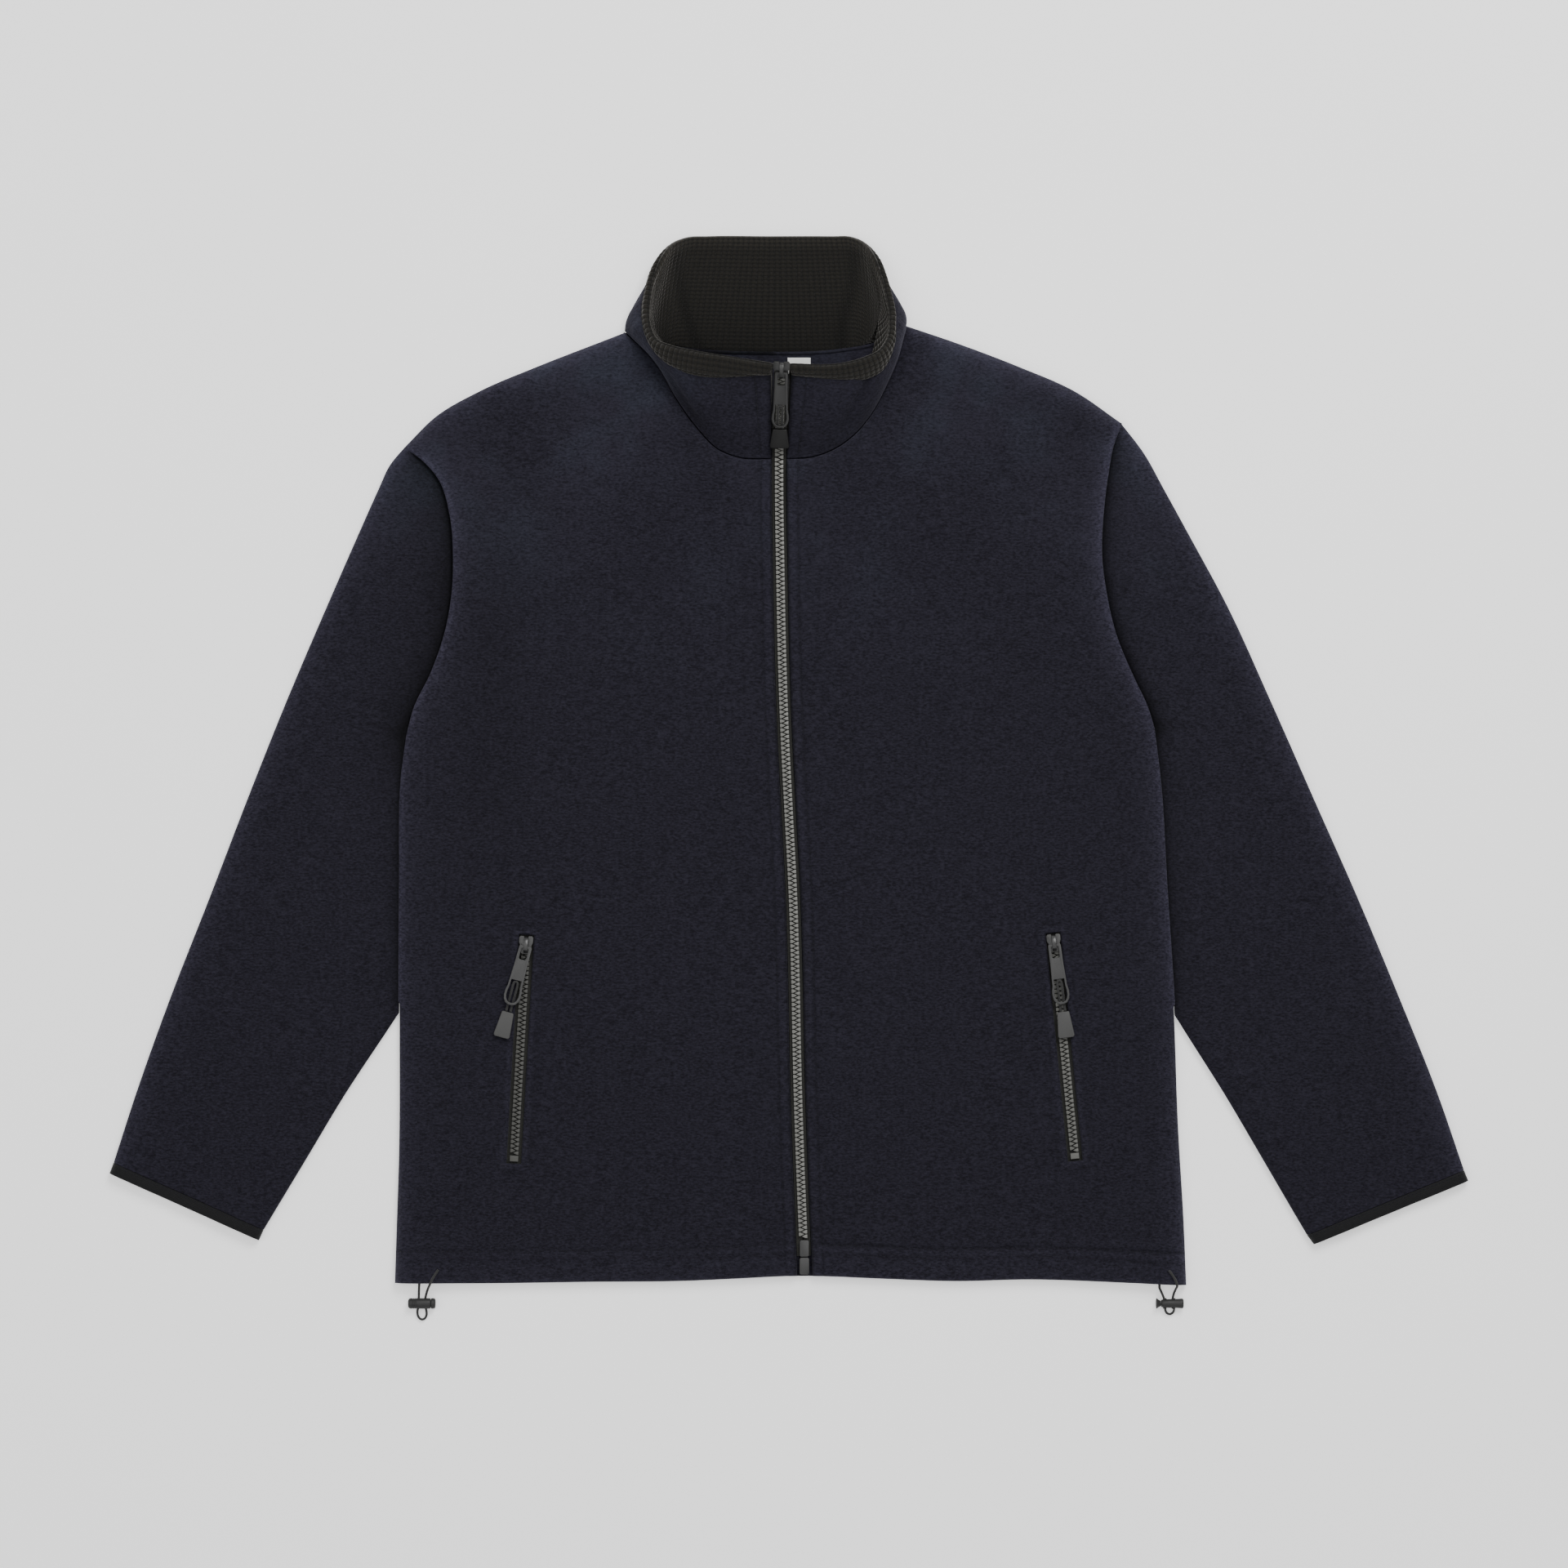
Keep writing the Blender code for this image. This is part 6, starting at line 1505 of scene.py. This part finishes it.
def main_pull_place():
    """Where the main pull's own coordinates lie: from its pin on the slider, down the collar's front."""
    low, high = 262.0, 290.0
    ends = zip_line(np.array([low, high]))
    at = ends[0] + (ends[1] - ends[0]) * (MAIN_SLIDER_Y - low) / (high - low)
    down = (ends[0] - ends[1]) / np.linalg.norm(ends[0] - ends[1])
    normal = np.cross(down, (-1.0, 0, 0))
    normal *= (1 if normal[2] > 0 else -1) / np.linalg.norm(normal)
    return frame_at(at + normal * PIN_ABOVE, down, normal)


# ---- drawcords
def drawcord(side):
    """A drawcord out of the hem, through its lock, round its loop and back, and the lock on it."""
    name = side.name
    points = np.array(DRAWCORDS[name], float)
    on_hem = (points[:, 1] > HEM_EDGE_Y[name]) & (points[:, 2] > 8)
    inside = np.column_stack([points[:, 0], np.maximum(points[:, 1], HEM_EDGE_Y[name] + 2.5)])
    points[:, 2] = np.where(on_hem, coarse_level(inside, side) + CORD / 2 + 0.35, points[:, 2])
    inside_hem = points[:1] + np.array([(0, IN_HEM, 0), (0, IN_HEM / 2, 0)])
    line = Curve(np.concatenate([inside_hem, points]))
    places = np.linspace(0, line.length, int(line.length / 0.7))
    path = line.at(places)
    shape = Shape().sweep(tube_sections(path, CORD / 2, 14), np.linspace(0, 1, 15), places)
    made = shape.make(f"braided_cord_{name}", "black_cord", stands_for=(f"drawcord_{name}",))
    lock(side, line)


def lock(side, line):
    """A turned lock: a ribbed barrel with rims where the cord passes through it, and its push button."""
    name, form = side.name, LOCKS[side.name]
    (cx, cy), head = form["centre"], form["head"]
    half, radius = LOCK_LONG / 2, LOCK_RADIUS
    seat = half - LOCK_HEAD
    if form["trumpet"]:
        body = [(-half, 0.02), (-half, radius - 1.0), (-half + 0.25, radius - 0.62),
                (-half + 1, radius - 0.2), (-half + 2.2, radius - 0.28), (-half + 5, radius - 0.5),
                (0, radius - 0.62), (seat - 2, radius - 0.8), (seat - 1, radius - 1.1),
                (seat - 0.3, radius - 1.6), (seat - 0.3, 0.02)]
        cap = [(seat, 0.02), (seat, radius - 1.7), (seat + 0.5, radius - 1.6), (seat + 1.2, radius - 1.3),
               (seat + 2, radius - 0.7), (half - 0.6, radius), (half - 0.2, radius - 0.08),
               (half, radius - 0.5), (half, radius - 1.1), (half - 0.35, radius - 1.5), (half - 0.4, 0.02)]
    else:
        body = [(-half, 0.02), (-half, radius - 1.7), (-half + 0.3, radius - 0.9),
                (-half + 0.8, radius - 0.35), (-half + 1.4, radius - 0.1), (-half + 2, radius)]
        for k in range(3):
            at = -half + 3.0 + k * 1.3
            body += [(at, radius), (at + 0.25, radius - 0.25), (at + 0.65, radius - 0.25), (at + 0.9, radius)]
        body += [(seat - 0.9, radius), (seat - 0.4, radius - 0.15), (seat - 0.3, radius - 0.5),
                 (seat - 0.3, 0.02)]
        cap = [(seat, 0.02), (seat, radius - 0.5), (seat + 0.15, radius - 0.1), (seat + 0.4, radius),
               (half - 1.2, radius), (half - 0.5, radius - 0.35), (half - 0.12, radius - 0.9),
               (half, radius - 1.6), (half, 0.02)]
    angle = np.arange(36) * 2 * math.pi / 36
    made = []
    for part, profile in (("barrel", body), ("button", cap)):
        rings = [np.column_stack([np.full(36, cx + head * x), cy + r * np.cos(angle),
                                  radius + 0.02 + r * np.sin(angle)]) for x, r in profile]
        made.append(Shape().sweep(rings).make(
            f"turned_{part}_{name}", "lock_plastic", stands_for=(f"cordlock_{part}_{name}",), sharp=38))
    crossing = [p for p in line.points if abs(p[1] - cy) < LOCK_RADIUS + 1]
    rims = Shape()
    xs = sorted({round(float(p[0]), 2) for p in crossing})
    middle = (xs[0] + xs[-1]) / 2
    for low in (True, False):
        strand = [p[0] for p in crossing if (p[0] < middle) == low]
        for front_side in (-1, 1):
            turn = np.linspace(0, 2 * math.pi, 19)[:-1]
            at = np.array([np.mean(strand), cy + front_side * (LOCK_RADIUS - 0.55), LOCK_RADIUS])
            ring = [at + np.array([r * math.cos(t), front_side * y, r * math.sin(t)])
                    for r, y in ((1.5, 0), (1.45, 0.42), (1.2, 0.5), (1.05, 0.3), (1.05, -0.4)) for t in turn]
            rims.sweep(np.array(ring).reshape(5, 18, 3))
    rims.make(f"lock_eyelets_{name}", "lock_plastic", sharp=50)
    return made


# ---- stitching
def body_stitches():
    """Rows of stitches on the fronts: beside the zip, above the hem and round the pockets."""
    pitch = sizes().stitch_pitch / MM
    for side in SIDES.values():
        shape = Shape()

        def row(line, above, size):
            stitch_row(shape, np.column_stack([line, body_face(line, side) + above]), (0, 0, 1), pitch, size)

        places = np.linspace(HEM_DEPTH, side.zip_edge.length - 2, 320)
        row(side.zip_edge.at(places) + (side.sign * ZIP_STITCH, 0), -0.05, 0.9)
        ends = sorted([HEM_LINE.nearest(side.side.points[0]), HEM_LINE.nearest(side.zip_edge.points[0])])
        places = np.linspace(ends[0] + 1.5, ends[1] - 1.5, 200)
        run = HEM_LINE.along(places)
        row(HEM_LINE.at(places) + np.column_stack([-run[:, 1], run[:, 0]]) * HEM_DEPTH, 0.1, 0.9)
        out = POCKET_HALF_OPENING + POCKET_STITCH
        for flank in (-1, 1):
            up = np.linspace(-3, side.slit_long + 3, 160)[:, None]
            row(side.slit_foot + side.slit_across * flank * out + side.slit_up * up, -0.02, 0.8)
        shape.make(f"topstitches_{side.name}", "thread")


# ---- stage
def studio():
    """A pale floor, soft lights overhead and to the upper left, and the camera straight above."""
    mesh = bpy.data.meshes.new("studio_floor")
    corners = [(x * FLOOR_HALF, y * FLOOR_HALF, FLOOR_LEVEL) for x, y in ((-1, -1), (1, -1), (1, 1), (-1, 1))]
    mesh.from_pydata(corners, [], [(0, 1, 2, 3)])
    floor = bpy.data.objects.new("studio_floor", mesh)
    bpy.context.collection.objects.link(floor)
    f = Finish("studio_white", 0.9, Emission_Color=(1, 1, 1, 1), Emission_Strength=sizes().floor_glow)
    cloud = f.noise(3, 1)
    f.colour((0.90, 0.90, 0.90), (0.93, 0.93, 0.93), cloud)
    mesh.materials.append(f.material)
    for name, at, size, power, aim in LAMPS:
        light = bpy.data.lights.new(f"studio_{name}", "AREA")
        light.shape = "SQUARE"
        light.size = size
        light.energy = power
        lamp = bpy.data.objects.new(f"studio_{name}", light)
        way = np.array([aim[0] - at[0], aim[1] - at[1], -at[2]])
        lamp.location = at
        tilt, turn = math.acos(-way[2] / np.linalg.norm(way)), math.atan2(way[0], -way[1]) + math.pi
        lamp.rotation_euler = (tilt, 0, turn)
        bpy.context.collection.objects.link(lamp)
    world = bpy.data.worlds.new("studio_world")
    world.use_nodes = True
    sky = world.node_tree.nodes["Background"].inputs
    sky["Color"].default_value, sky["Strength"].default_value = (1, 1, 1, 1), SKY
    bpy.context.scene.world = world
    camera = bpy.data.cameras.new("camera")
    camera.sensor_width = SENSOR
    camera.lens = SENSOR * CAMERA_ABOVE / VIEW_WIDTH
    camera.clip_start, camera.clip_end = 0.1, 20
    seat = bpy.data.objects.new("camera", camera)
    seat.location = (VIEW_CENTRE[0] * MM, VIEW_CENTRE[1] * MM, CAMERA_ABOVE * MM)
    bpy.context.collection.objects.link(seat)
    bpy.context.scene.camera = seat


# ---- add-on
def real(name, text, default, **more):
    return bpy.props.FloatProperty(name=name, description=text, default=default, **more)


def length(name, text, default):
    return real(name, text, default, min=0.0, unit="LENGTH", subtype="DISTANCE", precision=5)


def tint(name, text, default):
    return bpy.props.FloatVectorProperty(
        name=name, description=text, default=default, size=3, min=0.0, max=1.0, subtype="COLOR")


class JacketSizes(bpy.types.PropertyGroup):
    """Sizes that a user may change without the solids changing."""

    fold_height: real("Fold height", "Times the height of the soft folds as laid out", 1.6, min=0.0, max=2.0)
    nap_size: length("Nap size", "Width of one curl of the fleece's nap", 0.00130)
    nap_height: length("Nap height", "Height of the nap's curls", 0.0007)
    grid_pitch: length("Lining grid pitch", "From one square of the lining's grid to the next", 0.0038)
    stitch_pitch: length("Stitch pitch", "From one stitch to the next", 0.0031)
    tooth_pitch: length("Tooth pitch", "From one tooth to the next on one side of the main zip", 0.00336)
    floor_glow: real("Floor glow", "How far the floor is lifted towards white", 0.5, min=0.0, max=2.0)


class JacketColours(bpy.types.PropertyGroup):
    """Colours of the finishes."""

    fleece_dark: tint("Fleece, dark", "Between the fleece's curls", (0.0046, 0.0041, 0.0070))
    fleece_light: tint("Fleece, light", "On the fleece's curls", (0.0188, 0.0175, 0.0275))
    # The lining's dark colour also serves as painted shade in the grid's grooves.
    lining_dark: tint("Lining, dark", "In the grid's grooves", (0.0022, 0.0021, 0.0018))
    lining_light: tint("Lining, light", "On the grid's squares", (0.0112, 0.0100, 0.0080))
    binding: tint("Binding", "The cuffs' knit binding", (0.012, 0.012, 0.013))
    binding_dark: tint("Binding, dark", "Between the binding's ribs", (0.004, 0.004, 0.0045))
    thread: tint("Thread", "The stitching", (0.010, 0.0098, 0.0150))
    tape: tint("Zip tape", "The zips' woven tapes", (0.030, 0.030, 0.027))
    teeth: tint("Zip teeth", "The zips' moulded teeth", (0.165, 0.165, 0.152))
    metal: tint("Gunmetal", "Sliders and pull tabs", (0.060, 0.060, 0.060))
    cord: tint("Cord", "Drawcords and pull cords", (0.022, 0.022, 0.0215))
    plastic: tint("Plastic", "The main pull's end", (0.007, 0.007, 0.007))
    grey_plastic: tint("Grey plastic", "Locks and the pocket pulls' ends", (0.060, 0.060, 0.059))
    label: tint("Label", "The neck label", (0.80, 0.80, 0.78))


class JacketStep:
    bl_options = {"REGISTER", "UNDO"}


def for_each_side(work):
    for side in SIDES.values():
        work(side)


class JACKET_OT_back(JacketStep, bpy.types.Operator):
    """Make the back panel"""

    bl_idname = "jacket.back"
    bl_label = "Back"

    def execute(self, context):
        back()
        return {"FINISHED"}


class JACKET_OT_fronts(JacketStep, bpy.types.Operator):
    """Make the two fronts"""

    bl_idname = "jacket.fronts"
    bl_label = "Fronts"

    def execute(self, context):
        for_each_side(front)
        return {"FINISHED"}


class JACKET_OT_sleeves(JacketStep, bpy.types.Operator):
    """Make the two sleeves"""

    bl_idname = "jacket.sleeves"
    bl_label = "Sleeves"

    def execute(self, context):
        for_each_side(sleeve)
        return {"FINISHED"}


class JACKET_OT_cuffs(JacketStep, bpy.types.Operator):
    """Make the cuffs' knit bindings and their stitches"""

    bl_idname = "jacket.cuffs"
    bl_label = "Cuffs"

    def execute(self, context):
        for_each_side(cuff)
        return {"FINISHED"}


class JACKET_OT_collar(JacketStep, bpy.types.Operator):
    """Make the collar's fleece shell"""

    bl_idname = "jacket.collar"
    bl_label = "Collar"

    def execute(self, context):
        collar_shell()
        return {"FINISHED"}


class JACKET_OT_lining(JacketStep, bpy.types.Operator):
    """Make the collar's grid lining and the neck label"""

    bl_idname = "jacket.lining"
    bl_label = "Lining and label"

    def execute(self, context):
        collar_lining()
        label()
        return {"FINISHED"}


class JACKET_OT_main_zip(JacketStep, bpy.types.Operator):
    """Make the main zip"""

    bl_idname = "jacket.main_zip"
    bl_label = "Main zip"

    def execute(self, context):
        main_zip()
        return {"FINISHED"}


class JACKET_OT_pocket_zips(JacketStep, bpy.types.Operator):
    """Make the two pocket zips"""

    bl_idname = "jacket.pocket_zips"
    bl_label = "Pocket zips"

    def execute(self, context):
        for_each_side(pocket_zip)
        return {"FINISHED"}


class JACKET_OT_pulls(JacketStep, bpy.types.Operator):
    """Make the three zip pulls"""

    bl_idname = "jacket.pulls"
    bl_label = "Zip pulls"

    def execute(self, context):
        pull_pieces("main_pull", main_pull_place(), MAIN_END)
        for side in SIDES.values():
            pin, down = pocket_frame(side)
            pull_pieces(f"pocket_pull_{side.name}", frame_at(pin, down, (0, 0, 1.0)), POCKET_END)
        return {"FINISHED"}


class JACKET_OT_drawcords(JacketStep, bpy.types.Operator):
    """Make the two drawcords and their locks"""

    bl_idname = "jacket.drawcords"
    bl_label = "Drawcords"

    def execute(self, context):
        for_each_side(drawcord)
        return {"FINISHED"}


class JACKET_OT_stitching(JacketStep, bpy.types.Operator):
    """Make the rows of stitches on the fronts"""

    bl_idname = "jacket.stitching"
    bl_label = "Stitching"

    def execute(self, context):
        body_stitches()
        return {"FINISHED"}


class JACKET_OT_studio(JacketStep, bpy.types.Operator):
    """Make the floor, the lights and the camera"""

    bl_idname = "jacket.studio"
    bl_label = "Studio"

    def execute(self, context):
        studio()
        return {"FINISHED"}


STEPS = (JACKET_OT_studio, JACKET_OT_drawcords, JACKET_OT_back, JACKET_OT_fronts, JACKET_OT_sleeves,
         JACKET_OT_cuffs, JACKET_OT_collar, JACKET_OT_lining, JACKET_OT_main_zip, JACKET_OT_pocket_zips,
         JACKET_OT_pulls, JACKET_OT_stitching)


class JACKET_PT_panel(bpy.types.Panel):
    """Lists the jacket's sizes, colours and making steps"""

    bl_idname = "JACKET_PT_panel"
    bl_label = "Fleece zip jacket"
    bl_space_type = "VIEW_3D"
    bl_region_type = "UI"
    bl_category = "Jacket"

    def draw(self, context):
        for group in (context.scene.jacket_sizes, context.scene.jacket_colours):
            box = self.layout.box()
            for key in group.__annotations__:
                box.prop(group, key)
        for step in STEPS:
            self.layout.operator(step.bl_idname)


CLASSES = (JacketSizes, JacketColours, *STEPS, JACKET_PT_panel)


def register():
    for each in CLASSES:
        bpy.utils.register_class(each)
    bpy.types.Scene.jacket_sizes = bpy.props.PointerProperty(type=JacketSizes)
    bpy.types.Scene.jacket_colours = bpy.props.PointerProperty(type=JacketColours)


def unregister():
    del bpy.types.Scene.jacket_colours
    del bpy.types.Scene.jacket_sizes
    for each in reversed(CLASSES):
        bpy.utils.unregister_class(each)


def main():
    """Makes the whole jacket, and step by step."""
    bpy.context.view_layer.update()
    register()
    for step in STEPS:
        group, name = step.bl_idname.split(".")
        getattr(getattr(bpy.ops, group), name)()


if __name__ == "__main__":
    main()
